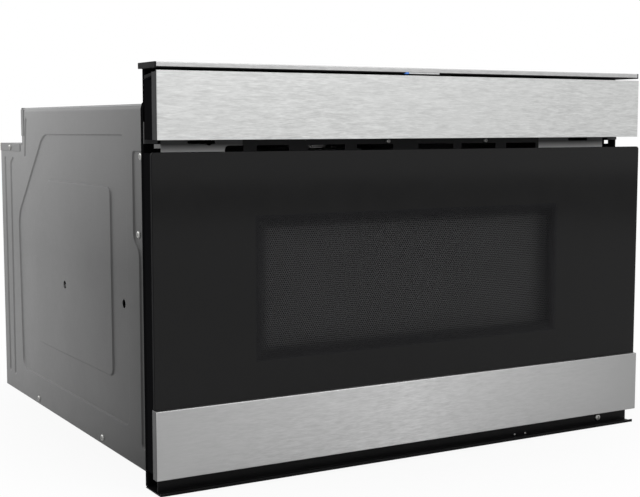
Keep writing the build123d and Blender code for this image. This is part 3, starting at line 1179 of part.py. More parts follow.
drive_x = RACK_WIDTH / 2 + DRIVE_PLATE_GAP
motor_x = drive_x + DRIVE_PLATE
with BuildPart() as drawer_pinion:
    with BuildSketch(turned_at(-PINION_WIDTH / 2, PINION_DEPTH, PINION_Z)):
        drive_form = dict(module=MODULE, addendum=GEAR_ADDENDUM, dedendum=GEAR_DEDENDUM, thinning=BACKLASH)
        Polygon(*gear_points(PINION_TEETH, **drive_form), align=None)
    extrude(amount=PINION_WIDTH)
    with BuildSketch(turned_at(-motor_x - SHAFT_END, PINION_DEPTH, PINION_Z)):
        Circle(PINION_SHAFT)
    extrude(amount=2 * motor_x + SHAFT_END + MOTOR_SHAFT_ENTRY)

with BuildPart() as drive_bracket:
    drive = (PINION_DEPTH - DRIVE_LENGTH / 2, PINION_DEPTH + DRIVE_LENGTH / 2)
    bridge = (RACK_TOP + DRIVE_GAP, RACK_TOP + DRIVE_GAP + DRIVE_PLATE)
    for side in (-1, 1):
        plate = sorted((side * drive_x, side * motor_x))
        slab(plate, drive, (SHEET, bridge[1]))
        foot = sorted((side * drive_x, side * (drive_x + DRIVE_FOOT)))
        slab(foot, drive, (SHEET, SHEET + DRIVE_PLATE))
    slab((-motor_x, motor_x), drive, bridge)
    with BuildSketch(turned_at(-motor_x, PINION_DEPTH, PINION_Z)):
        bore(PINION_SHAFT + SHAFT_CLEARANCE, mode=Mode.ADD)
    extrude(amount=2 * motor_x, mode=Mode.SUBTRACT)

with BuildPart() as drawer_motor:
    with BuildSketch(turned_at(motor_x, PINION_DEPTH, PINION_Z)):
        RegularPolygon(GEARMOTOR_RADIUS, ROD_SIDES)
    extrude(amount=GEARMOTOR_LENGTH)
    gearbox = (PINION_DEPTH - GEARBOX_FRONT, PINION_DEPTH + GEARBOX_BACK)
    slab((motor_x, motor_x + GEARBOX_LENGTH), gearbox, (PINION_Z - GEARBOX_HALF, PINION_Z + GEARBOX_HALF))
    with BuildSketch(turned_at(motor_x, PINION_DEPTH, PINION_Z)):
        bore(PINION_SHAFT + SHAFT_CLEARANCE, mode=Mode.ADD)
    extrude(amount=MOTOR_SHAFT_ENTRY + SHAFT_END, mode=Mode.SUBTRACT)

# ------------------------------------------------------------------ control panel and its hinges
slope = PANEL_SLOPE_DROP / (PANEL_BACK - PANEL_FRONT)


def top_at(depth):
    """Height of the sloping top of the control panel at this depth."""
    return PANEL_HIGH - slope * (depth - PANEL_FRONT)


def under_top(front, back, above, below):
    """A band of the panel's side view that follows its sloping top between two drops."""
    upper = [(y_at(front), top_at(front) - above), (y_at(back), top_at(back) - above)]
    lower = [(y_at(back), top_at(back) - below), (y_at(front), top_at(front) - below)]
    Polygon(*upper, *lower, align=None)


housing_front = PANEL_FRONT + FASCIA_SHEET
housing_back = PANEL_BACK - HOUSING_WALL
panel_inner_half = PANEL_WIDTH / 2 - FASCIA_SHEET
slot_half = HINGE_SHEET / 2 + HINGE_SLOT_GAP
with BuildPart() as panel_fascia:
    half = PANEL_WIDTH / 2
    with BuildSketch(Plane.XY.offset(PANEL_LOW)):
        span(-half, half, y_at(PANEL_FRONT), y_at(PANEL_SIDE))
        span(FASCIA_SHEET - half, half - FASCIA_SHEET, y_at(housing_front), y_at(PANEL_SIDE), mode=Mode.SUBTRACT)
    extrude(amount=top_at(PANEL_SIDE) - PANEL_LOW)
    slab((-half, half), (PANEL_FRONT, housing_front), (PANEL_LOW, PANEL_HIGH))
    front_corners = panel_fascia.edges().filter_by(Axis.Z).group_by(Axis.Y)[0]
    fillet(front_corners, FASCIA_SHEET * 0.9)

with BuildPart() as panel_housing:
    with BuildSketch(beside(-panel_inner_half)):
        under_top(housing_front, PANEL_BACK, CONTROL_GLASS, CONTROL_GLASS + HOUSING_WALL)
        span(y_at(housing_front), y_at(PANEL_BACK), PANEL_LOW, top_at(PANEL_BACK) - CONTROL_GLASS - SHEET)
    extrude(amount=2 * panel_inner_half)
    hollow_half = panel_inner_half - HOUSING_WALL
    slab(
        (-hollow_half, hollow_half),
        (housing_front - HOUSING_WALL, housing_back),
        (PANEL_LOW + HOUSING_WALL, PANEL_HIGH),
        Mode.SUBTRACT,
    )
    ear_half = slot_half + HINGE_EAR
    for side in (-1, 1):
        with BuildSketch(turned_at(side * HINGE_X - ear_half, HINGE_DEPTH, HINGE_Z)):
            RegularPolygon(HINGE_LUG, BORE_SIDES)
            span(-HINGE_LUG, HINGE_LUG, PANEL_LOW - HINGE_Z, 0)
        extrude(amount=2 * ear_half)
        slab(
            (side * HINGE_X - slot_half, side * HINGE_X + slot_half),
            (housing_front, PANEL_BACK + SHEET),
            (PANEL_LOW - SHEET, HINGE_Z + HINGE_LUG + HINGE_SLOT_TOP),
            Mode.SUBTRACT,
        )
        with BuildSketch(turned_at(side * HINGE_X - ear_half - SHEET, HINGE_DEPTH, HINGE_Z)):
            bore(HINGE_PIN + SHAFT_CLEARANCE, mode=Mode.ADD)
        extrude(amount=2 * ear_half + 2 * SHEET, mode=Mode.SUBTRACT)
    mount_x = slot_half - HINGE_X
    slab(
        (mount_x, mount_x + HOUSING_WALL),
        (PANEL_PINION_DEPTH - MOTOR_PAD, housing_back),
        (PANEL_PINION_Z - MOTOR_PAD, PANEL_PINION_Z + MOTOR_PAD),
    )
    with BuildSketch(turned_at(mount_x, PANEL_PINION_DEPTH, PANEL_PINION_Z)):
        bore(PANEL_SHAFT + PANEL_SHAFT_PLAY, mode=Mode.ADD)
    extrude(amount=HOUSING_WALL, mode=Mode.SUBTRACT)

with BuildPart() as panel_glass:
    with BuildSketch(beside(-panel_inner_half)):
        under_top(housing_front, PANEL_BACK, 0, CONTROL_GLASS)
    extrude(amount=2 * panel_inner_half)

with BuildPart() as panel_board:
    chip_top = CONTROL_GLASS + PANEL_BOARD_THICKNESS
    with BuildSketch(beside(-PANEL_BOARD_LENGTH / 2)):
        under_top(housing_front, housing_back, CONTROL_GLASS, chip_top)
    extrude(amount=PANEL_BOARD_LENGTH)
    with Locations((0, y_at(PANEL_CHIP_DEPTH), top_at(PANEL_CHIP_DEPTH) - chip_top)):
        Box(*PANEL_CHIP, align=(Align.CENTER, Align.CENTER, Align.MAX))

with BuildPart() as panel_motor:
    motor_start = mount_x + HOUSING_WALL
    with BuildSketch(turned_at(motor_start, PANEL_PINION_DEPTH, PANEL_PINION_Z)):
        RegularPolygon(PANEL_MOTOR_RADIUS, BORE_SIDES)
    extrude(amount=PANEL_MOTOR_LENGTH)
    with BuildSketch(turned_at(motor_start, PANEL_PINION_DEPTH, PANEL_PINION_Z)):
        Circle(PANEL_SHAFT)
    extrude(amount=-HOUSING_WALL - HINGE_SHEET - PANEL_SHAFT_END)

panel_teeth = dict(module=PANEL_MODULE, addendum=STUB_ADDENDUM, dedendum=STUB_DEDENDUM, thinning=PANEL_BACKLASH)
with BuildPart() as panel_pinion:
    with BuildSketch(turned_at(-HINGE_X - HINGE_SHEET / 2, PANEL_PINION_DEPTH, PANEL_PINION_Z)):
        Polygon(*gear_points(PANEL_PINION_TEETH, PANEL_PINION_ANGLE, **panel_teeth), align=None)
        bore(PANEL_SHAFT + SHAFT_CLEARANCE)
    extrude(amount=HINGE_SHEET)


def bracket_outline(with_sector):
    """A hinge bracket seen from the side, with its origin on the hinge pin."""
    if with_sector:
        step = 360 / SECTOR_TEETH
        first = PANEL_PINION_ANGLE - 1.5 * step
        Polygon((0, 0), *gear_points(SECTOR_TEETH, first, SECTOR_CUT_TEETH, **panel_teeth), align=None)
    RegularPolygon(HINGE_LUG, BORE_SIDES)
    span(0, FLANGE_DEPTH - HINGE_DEPTH, -HINGE_LUG, HINGE_LUG)
    bore(HINGE_PIN + SHAFT_CLEARANCE)


with BuildPart() as hinge_brackets:
    for side in (-1, 1):
        with BuildSketch(turned_at(side * HINGE_X - HINGE_SHEET / 2, HINGE_DEPTH, HINGE_Z)):
            bracket_outline(side < 0)
        extrude(amount=HINGE_SHEET)
        foot = sorted((side * (HINGE_X - HINGE_SHEET / 2), side * (FLANGE_WIDTH / 2)))
        foot_z = (HINGE_Z - HINGE_FOOT_DROP, HINGE_Z + HINGE_FOOT_RISE)
        slab(foot, (FLANGE_DEPTH - FRAME_SHEET, FLANGE_DEPTH), foot_z)

with BuildPart() as panel_hinge_pins:
    for side in (-1, 1):
        with BuildSketch(turned_at(side * HINGE_X - ear_half, HINGE_DEPTH, HINGE_Z)):
            Circle(HINGE_PIN)
        extrude(amount=2 * ear_half)

# ------------------------------------------------------------------ drawer front
with BuildPart() as door_lower_trim:
    half = WIDTH / 2
    with BuildSketch(Plane.XY.offset(TRIM_LOW)):
        span(-half, half, y_at(0), y_at(TRIM_SIDE))
        span(TRIM_SHEET - half, half - TRIM_SHEET, y_at(TRIM_SHEET), y_at(TRIM_SIDE), mode=Mode.SUBTRACT)
    extrude(amount=TRIM_HIGH - TRIM_LOW)
    slab((-half, half), (0, TRIM_SIDE), (TRIM_LOW, TRIM_LOW + TRIM_SHEET))
    slab((-half, half), (0, DOOR_FACE), (TRIM_HIGH - TRIM_SHEET, TRIM_HIGH))
    front_edges = door_lower_trim.faces().sort_by(Axis.Y)[0].edges()
    fillet(front_edges, TRIM_SHEET * 0.8)

with BuildPart() as door_glass:
    half = GLASS_WIDTH / 2
    with BuildSketch(facing(GLASS_FRONT)) as pane:
        span(-half, half, TRIM_HIGH, GLASS_TOP)
        fillet(pane.vertices().group_by(Axis.Y)[-1], GLASS_RADIUS)
    extrude(amount=-GLASS_THICKNESS)
    chamfer(door_glass.faces().sort_by(Axis.Y)[0].edges(), GLASS_CHAMFER)

window_half = CAVITY_HALF - WINDOW_INSET
screen_half = window_half + SCREEN_BORDER
screen_z = (WINDOW_LOW - SCREEN_BORDER, WINDOW_HIGH + SCREEN_BORDER)
plate_front = DOOR_BACK - SHEET
with BuildPart() as door_frame:
    half = DOOR_WIDTH / 2
    pad_half = WIDTH / 2 - TRIM_SHEET
    hollow = half - DOOR_WALL
    slab((-half, half), (DOOR_FACE, DOOR_BACK), (DOOR_LOW, DOOR_HIGH))
    slab((-pad_half, pad_half), (TRIM_SHEET, TRIM_SIDE), (TRIM_LOW + TRIM_SHEET, TRIM_HIGH - TRIM_SHEET))
    inner_z = (DOOR_LOW + DOOR_WALL, DOOR_HIGH - DOOR_WALL)
    slab((-hollow, hollow), (DOOR_FACE + DOOR_WALL, DOOR_BACK), inner_z, Mode.SUBTRACT)
    pad_z = (DOOR_LOW + DOOR_WALL, TRIM_HIGH - TRIM_SHEET - DOOR_WALL)
    slab((-hollow, hollow), (TRIM_SHEET + DOOR_WALL, DOOR_FACE + DOOR_WALL), pad_z, Mode.SUBTRACT)
    sight_half, sight_z = screen_half + SIGHT_GAP, (screen_z[0] - SIGHT_GAP, screen_z[1] + SIGHT_GAP)
    slab((-sight_half, sight_half), (GLASS_FRONT, SCREEN_DEPTH), sight_z, Mode.SUBTRACT)
    for start, z in ((TRIM_SHEET, inner_z[0] + DOOR_BOSS_INSET), (DOOR_FACE, inner_z[1] - DOOR_BOSS_INSET)):
        with BuildSketch(facing(start + DOOR_WALL)):
            with Locations((0, z)):
                with GridLocations(hollow - DOOR_BOSS_INSET, 1, 3, 1):
                    RegularPolygon(DOOR_BOSS_RADIUS, 8)
        extrude(amount=start + DOOR_WALL - plate_front)

with BuildPart() as window_screen:
    slab((-screen_half, screen_half), (SCREEN_DEPTH, SCREEN_DEPTH + SCREEN_THICKNESS), screen_z)

with BuildPart() as door_inner_panel:
    rim = SCREEN_DEPTH + SCREEN_THICKNESS
    sheet_half = hollow - PLATE_GAP
    slab((-sheet_half, sheet_half), (plate_front, DOOR_BACK), (inner_z[0] + PLATE_GAP, inner_z[1] - PLATE_GAP))
    tube = WINDOW_RECESS + SHEET
    tube_z = (WINDOW_LOW - tube, WINDOW_HIGH + tube)
    slab((-window_half - tube, window_half + tube), (rim, DOOR_BACK), tube_z)
    slab((-screen_half, screen_half), (rim, rim + SHEET), screen_z)
    recess_half, recess_z = window_half + WINDOW_RECESS, (WINDOW_LOW - WINDOW_RECESS, WINDOW_HIGH + WINDOW_RECESS)
    slab((-recess_half, recess_half), (rim + SHEET, DOOR_BACK), recess_z, Mode.SUBTRACT)
    slab((-window_half, window_half), (rim, DOOR_BACK), (WINDOW_LOW, WINDOW_HIGH), Mode.SUBTRACT)

rabbet = (DOOR_BACK, DOOR_BACK + INNER_PANE_THICKNESS)
with BuildPart() as choke_cover:
    with BuildSketch(facing(DOOR_BACK)):
        with Locations((0, (CHOKE_LOW + CHOKE_HIGH) / 2)):
            eased_rectangle(CAVITY_WIDTH + 2 * CHOKE_SIDE, CHOKE_HIGH - CHOKE_LOW, CHOKE_RADIUS)
    extrude(amount=-CHOKE_THICKNESS)
    chamfer(choke_cover.faces().sort_by(Axis.Y)[-1].edges(), CHOKE_CHAMFER)
    slab((-window_half, window_half), (DOOR_BACK, CHOKE_BACK), (WINDOW_LOW, WINDOW_HIGH), Mode.SUBTRACT)
    slab((-screen_half, screen_half), rabbet, screen_z, Mode.SUBTRACT)

with BuildPart() as inner_window:
    slab((-screen_half, screen_half), rabbet, screen_z)

with BuildPart() as latch_prongs:
    for side in (-1, 1):
        prong = (side * PRONG_X - PRONG_WIDTH / 2, side * PRONG_X + PRONG_WIDTH / 2)
        tall = (PRONG_Z - PRONG_HEIGHT / 2, PRONG_Z + PRONG_HEIGHT / 2)
        slab(prong, (DOOR_BACK, DOOR_BACK + PRONG_LENGTH), tall)
        foot = (prong[0] - PRONG_WIDTH, prong[1] + PRONG_WIDTH)
        slab(foot, (DOOR_BACK, DOOR_BACK + PRONG_FOOT), (tall[0] + SHEET, tall[1] - SHEET))
    tips = latch_prongs.faces().sort_by(Axis.Y)[-2:]
    chamfer(tips.edges(), PRONG_CHAMFER)

# ------------------------------------------------------------------ drawer tray
TRAY_LOW = CAVITY_FLOOR + TRAY_FLOOR_GAP
tray_half = CAVITY_HALF - TRAY_SIDE_GAP
tray_length = CAVITY_BACK - TRAY_BACK_GAP - CHOKE_BACK
tray_centre = (0, y_at(CHOKE_BACK + tray_length / 2))
hollow_x = 2 * (tray_half - TRAY_RIM - TRAY_WALL)
hollow_y = tray_length - 2 * TRAY_RIM - 2 * TRAY_WALL


def tray_outline(z, across, along, radius):
    """A rounded rectangle about the middle of the tray, at this height."""
    with BuildSketch(Plane.XY.offset(z)) as outline:
        with Locations(tray_centre):
            eased_rectangle(across, along, radius)
    return outline.sketch


with BuildPart() as drawer_tray:
    wall_size = (hollow_x + 2 * TRAY_WALL, hollow_y + 2 * TRAY_WALL)
    extrude(tray_outline(TRAY_LOW, *wall_size, TRAY_RADIUS), amount=TRAY_HEIGHT)
    rim_z = TRAY_LOW + TRAY_HEIGHT - TRAY_WALL
    extrude(tray_outline(rim_z, 2 * tray_half, tray_length, TRAY_RADIUS + TRAY_RIM), amount=TRAY_WALL)
    tray_hollow = tray_outline(TRAY_LOW + TRAY_WALL, hollow_x, hollow_y, TRAY_RADIUS - TRAY_WALL)
    extrude(tray_hollow, amount=TRAY_HEIGHT, mode=Mode.SUBTRACT)

with BuildPart() as tray_base:
    base_size = (hollow_x - 2 * TRAY_BASE_GAP, hollow_y - 2 * TRAY_BASE_GAP)
    extrude(tray_outline(TRAY_LOW + TRAY_WALL, *base_size, TRAY_RADIUS / 2), amount=TRAY_BASE_THICKNESS)
    chamfer(tray_base.faces().sort_by(Axis.Z)[-1].edges(), TRAY_BASE_CHAMFER)

# ------------------------------------------------------------------ screws
SIDE_SCREWS = [(103.5, BODY_HEIGHT - 130.4), (95.0, BODY_HEIGHT - 51.0), (DEPTH - 145.0, 7.0), (213.9, 7.5)]
STEP_SCREW = (DEPTH - 46.0, STEP_HEIGHT - 5.2)


def screw_head(x, depth, z, direction, radius=SCREW_HEAD_RADIUS, height=SCREW_HEAD_HEIGHT):
    """A low screw head that stands on a face with this outward direction."""
    with BuildSketch(Plane(origin=(x, y_at(depth), z), z_dir=direction)) as head:
        RegularPolygon(radius, SCREW_HEAD_SIDES)
    extrude(head.sketch, amount=height)


with BuildPart() as case_screws:
    for side in (-1, 1):
        for depth, z in SIDE_SCREWS:
            pressed_in = EMBOSS if depth < FRONT_PRESS_END and z > FRONT_PRESS_LOW else 0
            screw_head(side * (HALF_BODY - pressed_in), depth, z, (side, 0, 0))
        screw_head(side * (HALF_BODY + STEP_FLANGE_SHEET), *STEP_SCREW, (side, 0, 0))
    bottom_x = BOTTOM_WEB_WIDTH / 2 - BOTTOM_SCREW_INSET
    screw_head(bottom_x, BOTTOM_WEB_DEPTH, BOTTOM_SCREW_Z, (0, -1, 0))
    for x in VENT_SCREWS:
        screw_z = PANEL_LOW - VENT_SCREW_DOWN
        screw_head(x, FLANGE_DEPTH - SHEET, screw_z, (0, -1, 0), VENT_SCREW_RADIUS, VENT_SCREW_HEIGHT)

# ------------------------------------------------------------------ files
PIECES = dict(
    front_frame=front_frame,
    vent_grille=vent_grille,
    top_trim=top_trim,
    top_trim_carrier=top_trim_carrier,
    status_light=status_light,
    bottom_trim=bottom_trim,
    side_panel_left=side_panel_left,
    side_panel_right=side_panel_right,
    top_cover=top_cover,
    rear_step_cover=rear_step_cover,
    back_plate=back_plate,
    cord_inlet=cord_inlet,
    base_plate=base_plate,
    oven_cavity=oven_cavity,
    waveguide_cover=waveguide_cover,
    waveguide=waveguide,
    stirrer_blade=stirrer_blade,
    stirrer_motor=stirrer_motor,
    magnetron_yoke=magnetron_yoke,
    magnetron_core=magnetron_core,
    hv_transformer_core=hv_transformer_core,
    hv_transformer_coils=hv_transformer_coils,
    hv_capacitor=hv_capacitor,
    fan_shroud=fan_shroud,
    fan_motor=fan_motor,
    fan_blade=fan_blade,
    control_board=control_board,
    noise_filter=noise_filter,
    interlock_switches=interlock_switches,
    cavity_lamp=cavity_lamp,
    thermal_cutouts=thermal_cutouts,
    slide_outer_members=slide_outer_members,
    slide_middle_members=slide_middle_members,
    slide_inner_members=slide_inner_members,
    ball_cages_outer=ball_cages_outer,
    ball_cages_inner=ball_cages_inner,
    rail_brackets=rail_brackets,
    drawer_rack=drawer_rack,
    drawer_pinion=drawer_pinion,
    drive_bracket=drive_bracket,
    drawer_motor=drawer_motor,
    panel_fascia=panel_fascia,
    panel_housing=panel_housing,
    panel_glass=panel_glass,
    panel_board=panel_board,
    panel_motor=panel_motor,
    panel_pinion=panel_pinion,
    hinge_brackets=hinge_brackets,
    panel_hinge_pins=panel_hinge_pins,
    door_lower_trim=door_lower_trim,
    door_glass=door_glass,
    door_frame=door_frame,
    window_screen=window_screen,
    door_inner_panel=door_inner_panel,
    choke_cover=choke_cover,
    inner_window=inner_window,
    latch_prongs=latch_prongs,
    drawer_tray=drawer_tray,
    tray_base=tray_base,
    case_screws=case_screws,
)

os.makedirs("parts", exist_ok=True)
for name, piece in PIECES.items():
    piece.part.label = name
    export_step(piece.part, f"parts/{name}.step")
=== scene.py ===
"""The built-in microwave drawer as it looks: its finishes, its pressed and moulded forms, and a studio."""

import json
import logging
import math
from dataclasses import dataclass, field
from enum import Enum
from typing import Any

import bmesh
import bpy
from bmesh.types import BMEdge, BMesh, BMFace, BMVert
from mathutils import Matrix, Vector

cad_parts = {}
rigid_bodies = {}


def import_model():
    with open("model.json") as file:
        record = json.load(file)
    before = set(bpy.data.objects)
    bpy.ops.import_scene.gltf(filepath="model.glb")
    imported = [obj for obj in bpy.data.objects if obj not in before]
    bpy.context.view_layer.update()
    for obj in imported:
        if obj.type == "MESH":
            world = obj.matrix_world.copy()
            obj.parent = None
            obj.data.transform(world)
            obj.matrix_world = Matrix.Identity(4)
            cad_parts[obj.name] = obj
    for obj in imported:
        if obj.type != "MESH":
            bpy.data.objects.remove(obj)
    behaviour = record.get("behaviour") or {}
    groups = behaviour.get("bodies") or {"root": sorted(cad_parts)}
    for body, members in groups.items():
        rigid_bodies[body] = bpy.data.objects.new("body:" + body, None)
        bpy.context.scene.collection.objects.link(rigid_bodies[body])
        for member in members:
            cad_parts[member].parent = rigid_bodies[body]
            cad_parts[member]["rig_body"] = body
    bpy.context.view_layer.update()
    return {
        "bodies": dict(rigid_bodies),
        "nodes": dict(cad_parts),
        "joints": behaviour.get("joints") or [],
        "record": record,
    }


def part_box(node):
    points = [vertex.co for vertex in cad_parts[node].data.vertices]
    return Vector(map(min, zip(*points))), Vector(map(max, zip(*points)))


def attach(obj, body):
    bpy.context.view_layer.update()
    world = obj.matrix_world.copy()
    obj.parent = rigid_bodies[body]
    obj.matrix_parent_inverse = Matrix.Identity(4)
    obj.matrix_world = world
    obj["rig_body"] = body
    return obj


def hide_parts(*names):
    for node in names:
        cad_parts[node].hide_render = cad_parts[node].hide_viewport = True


LOG = logging.getLogger("microwave_drawer")

Pair = tuple[float, float]
Triple = tuple[float, float, float]
Quad = tuple[float, float, float, float]
Frame = dict[str, Any]
Socket = bpy.types.NodeSocket
Feed = Socket | float | Triple | Quad

MM = 0.001  # metres in a millimetre
FRONT = -293.5  # Y of the front plane, in millimetres
SAME_PLACE = 2e-6  # vertices of a solid nearer than this, in metres, are one
LEVEL = 1e-6  # a difference in height or depth that counts as none, in metres
RISING = (0.0, 1.0)
FALLING = (1.0, 0.0)
MOST = (0.3, 0.7)  # the values that most of a noise lies between
PEAKS = (0.35, 0.75)  # the same without its lowest part
WHITE = (1.0, 1.0, 1.0)
BLACK = (0.0, 0.0, 0.0)


def at(x: float, depth: float, z: float) -> Vector:
    """A place in metres from X, the depth behind the front plane and the height, in millimetres."""
    return Vector((x, FRONT + depth, z)) * MM


# ---------------------------------------------------------------- finishes
class Recipe:
    """A material in the making: one Principled surface and the nodes that feed it."""

    def __init__(self, name: str) -> None:
        """Starts a material with a bare surface.

        Args:
            name: What the material is called.
        """
        self.material = bpy.data.materials.new(name)
        self.material.use_nodes = True
        self.nodes = self.material.node_tree.nodes
        self.links = self.material.node_tree.links
        self.nodes.clear()
        self.surface = self.nodes.new("ShaderNodeBsdfPrincipled")
        self.output = self.nodes.new("ShaderNodeOutputMaterial").inputs["Surface"]
        self.links.new(self.surface.outputs["BSDF"], self.output)
        self.place = self.nodes.new("ShaderNodeTexCoord").outputs["Object"]

    def feed(self, socket: Socket, value: Feed) -> None:
        """Sets a socket, or joins it where the value is another socket.

        Args:
            socket: The socket that is fed.
            value: A number, a colour or another node's socket.
        """
        if isinstance(value, bpy.types.NodeSocket):
            self.links.new(value, socket)
        else:
            socket.default_value = value

    def put(self, **values: Feed) -> None:
        """Sets or joins sockets of the surface, named with underscores for spaces."""
        for name, value in values.items():
            self.feed(self.surface.inputs[name.replace("_", " ")], value)

    def noise(self, scale: Triple, detail: float = 2.0, rough: float = 0.5) -> Socket:
        """Noise, finer or coarser along each axis.

        Args:
            scale: Features to the metre along X, Y and Z.
            detail: How many finer layers it has.
            rough: How much the finer layers count.

        Returns:
            A value from 0 to 1.
        """
        mapping = self.nodes.new("ShaderNodeMapping")
        self.links.new(self.place, mapping.inputs["Vector"])
        mapping.inputs["Scale"].default_value = scale
        noise = self.nodes.new("ShaderNodeTexNoise")
        self.links.new(mapping.outputs["Vector"], noise.inputs["Vector"])
        noise.inputs["Scale"].default_value = 1.0
        noise.inputs["Detail"].default_value = detail
        noise.inputs["Roughness"].default_value = rough
        return noise.outputs["Fac"]

    def even_noise(self, scale: float, detail: float = 2.0, rough: float = 0.5) -> Socket:
        """Noise that is the same along every axis, with this many features to the metre."""
        return self.noise((scale, scale, scale), detail, rough)

    def cells(self, scale: float, feature: str = "F1", output: str = "Color") -> Socket:
        """Voronoi cells.

        Args:
            scale: Cells to the metre.
            feature: What is measured in each cell.
            output: Which output is taken.

        Returns:
            That output.
        """
        cells = self.nodes.new("ShaderNodeTexVoronoi")
        self.links.new(self.place, cells.inputs["Vector"])
        cells.feature = feature
        cells.inputs["Scale"].default_value = scale
        return cells.outputs[output]

    def reckon(self, kind: str, first: Feed, second: Feed = 0.0) -> Socket:
        """One Math node.

        Args:
            kind: Its operation.
            first: Its first value.
            second: Its second value, where it has one.

        Returns:
            The result.
        """
        node = self.nodes.new("ShaderNodeMath")
        node.operation = kind
        self.feed(node.inputs[0], first)
        self.feed(node.inputs[1], second)
        return node.outputs[0]

    def weigh(self, first: Socket, second: Socket, share: float) -> Socket:
        """Two values added up, the second with this share and the first with the rest."""
        parts = (self.reckon("MULTIPLY", first, 1 - share), self.reckon("MULTIPLY", second, share))
        return self.reckon("ADD", *parts)

    def band(self, value: Feed, source: Pair, result: Pair = RISING) -> Socket:
        """A value carried from one range to another and kept inside it.

        Args:
            value: The value.
            source: The range that it comes from.
            result: The range that it goes to.

        Returns:
            The value in its new range.
        """
        node = self.nodes.new("ShaderNodeMapRange")
        self.feed(node.inputs["Value"], value)
        node.inputs["From Min"].default_value, node.inputs["From Max"].default_value = source
        node.inputs["To Min"].default_value, node.inputs["To Max"].default_value = result
        return node.outputs["Result"]

    def mix(self, share: Feed, first: Feed, second: Feed) -> Socket:
        """Two colours mixed.

        Args:
            share: How much of the second there is, from 0 to 1.
            first: A colour or a socket.
            second: A colour or a socket.

        Returns:
            The mixed colour.
        """
        node = self.nodes.new("ShaderNodeMix")
        node.data_type = "RGBA"
        self.feed(node.inputs["Factor"], share)
        for name, colour in (("A", first), ("B", second)):
            self.feed(node.inputs[name], (*colour, 1.0) if isinstance(colour, tuple) else colour)
        return node.outputs["Result"]

    def along(self, axis: str) -> Socket:
        """The object coordinate along an axis.

        Args:
            axis: X, Y or Z.

        Returns:
            The coordinate in metres.
        """
        split = self.nodes.new("ShaderNodeSeparateXYZ")
        self.links.new(self.place, split.inputs[0])
        return split.outputs[axis]

    def away(self, axis: str, middle: float) -> Socket:
        """The distance in metres from a middle, given in millimetres, along an axis."""
        return self.reckon("ABSOLUTE", self.reckon("SUBTRACT", self.along(axis), middle * MM))

    def relief(self, height: Socket, depth: float, strength: float) -> None:
        """Gives the surface bumps.

        Args:
            height: Their pattern.
            depth: Their depth in millimetres.
            strength: How much they count, from 0 to 1.
        """
        bump = self.nodes.new("ShaderNodeBump")
        bump.inputs["Distance"].default_value = depth * MM
        bump.inputs["Strength"].default_value = strength
        self.links.new(height, bump.inputs["Height"])
        self.put(Normal=bump.outputs["Normal"])


def shade(colour: Triple, factor: float) -> Triple:
    """A colour made darker or lighter."""
    return tuple(min(1.0, part * factor) for part in colour)


@dataclass(frozen=True)
class Finish:
    """A smooth paint or moulding with a fine texture and a little wear.

    Attributes:
        mottle: How much darker and lighter than itself the colour gets.
        clouds: Clouds of that to the metre.
        handled: Worn and greased places to the metre.
        wear: What the least and the most worn places add to the roughness.
        texture: Grains to the metre.
        texture_depth: Their depth in millimetres.
        texture_strength: How much they count, from 0 to 1.
    """

    name: str
    colour: Triple
    roughness: float = 0.45
    metallic: float = 0.0
    specular: float = 0.5
    coat: float = 0.0
    mottle: float = 0.06
    clouds: float = 9.0
    handled: float = 40.0
    wear: Pair = (-0.04, 0.07)
    texture: float = 2600.0
    texture_depth: float = 0.03
    texture_strength: float = 0.5

    def make(self) -> bpy.types.Material:
        """Builds the material.

        Returns:
            The material, named as the finish is.
        """
        recipe = Recipe(self.name)
        recipe.put(Metallic=self.metallic, Specular_IOR_Level=self.specular, Coat_Weight=self.coat)
        self.dress(recipe)
        return recipe.material

    def dress(self, recipe: Recipe) -> None:
        """Feeds the surface its clouds, wear and grain.

        Args:
            recipe: The material in the making.
        """
        tone = recipe.band(recipe.even_noise(self.clouds, detail=4.0, rough=0.6), MOST)
        recipe.put(Base_Color=self.varied(recipe, tone))
        handled = recipe.even_noise(self.handled, detail=5.0, rough=0.7)
        recipe.put(Roughness=self.worn(recipe, handled, PEAKS))
        self.grain(recipe, recipe.even_noise(self.texture))

    def varied(self, recipe: Recipe, share: Socket) -> Socket:
        """The colour, from darker to lighter as the share goes from 0 to 1."""
        return recipe.mix(share, shade(self.colour, 1 - self.mottle), shade(self.colour, 1 + self.mottle))

    def worn(self, recipe: Recipe, pattern: Socket, source: Pair) -> Socket:
        """The roughness, from least to most worn as the pattern goes through a range."""
        least, most = (self.roughness + change for change in self.wear)
        return recipe.band(pattern, source, (least, most))

    def grain(self, recipe: Recipe, pattern: Socket) -> None:
        """Gives the surface its texture's bumps in this pattern."""
        recipe.relief(pattern, self.texture_depth, self.texture_strength)


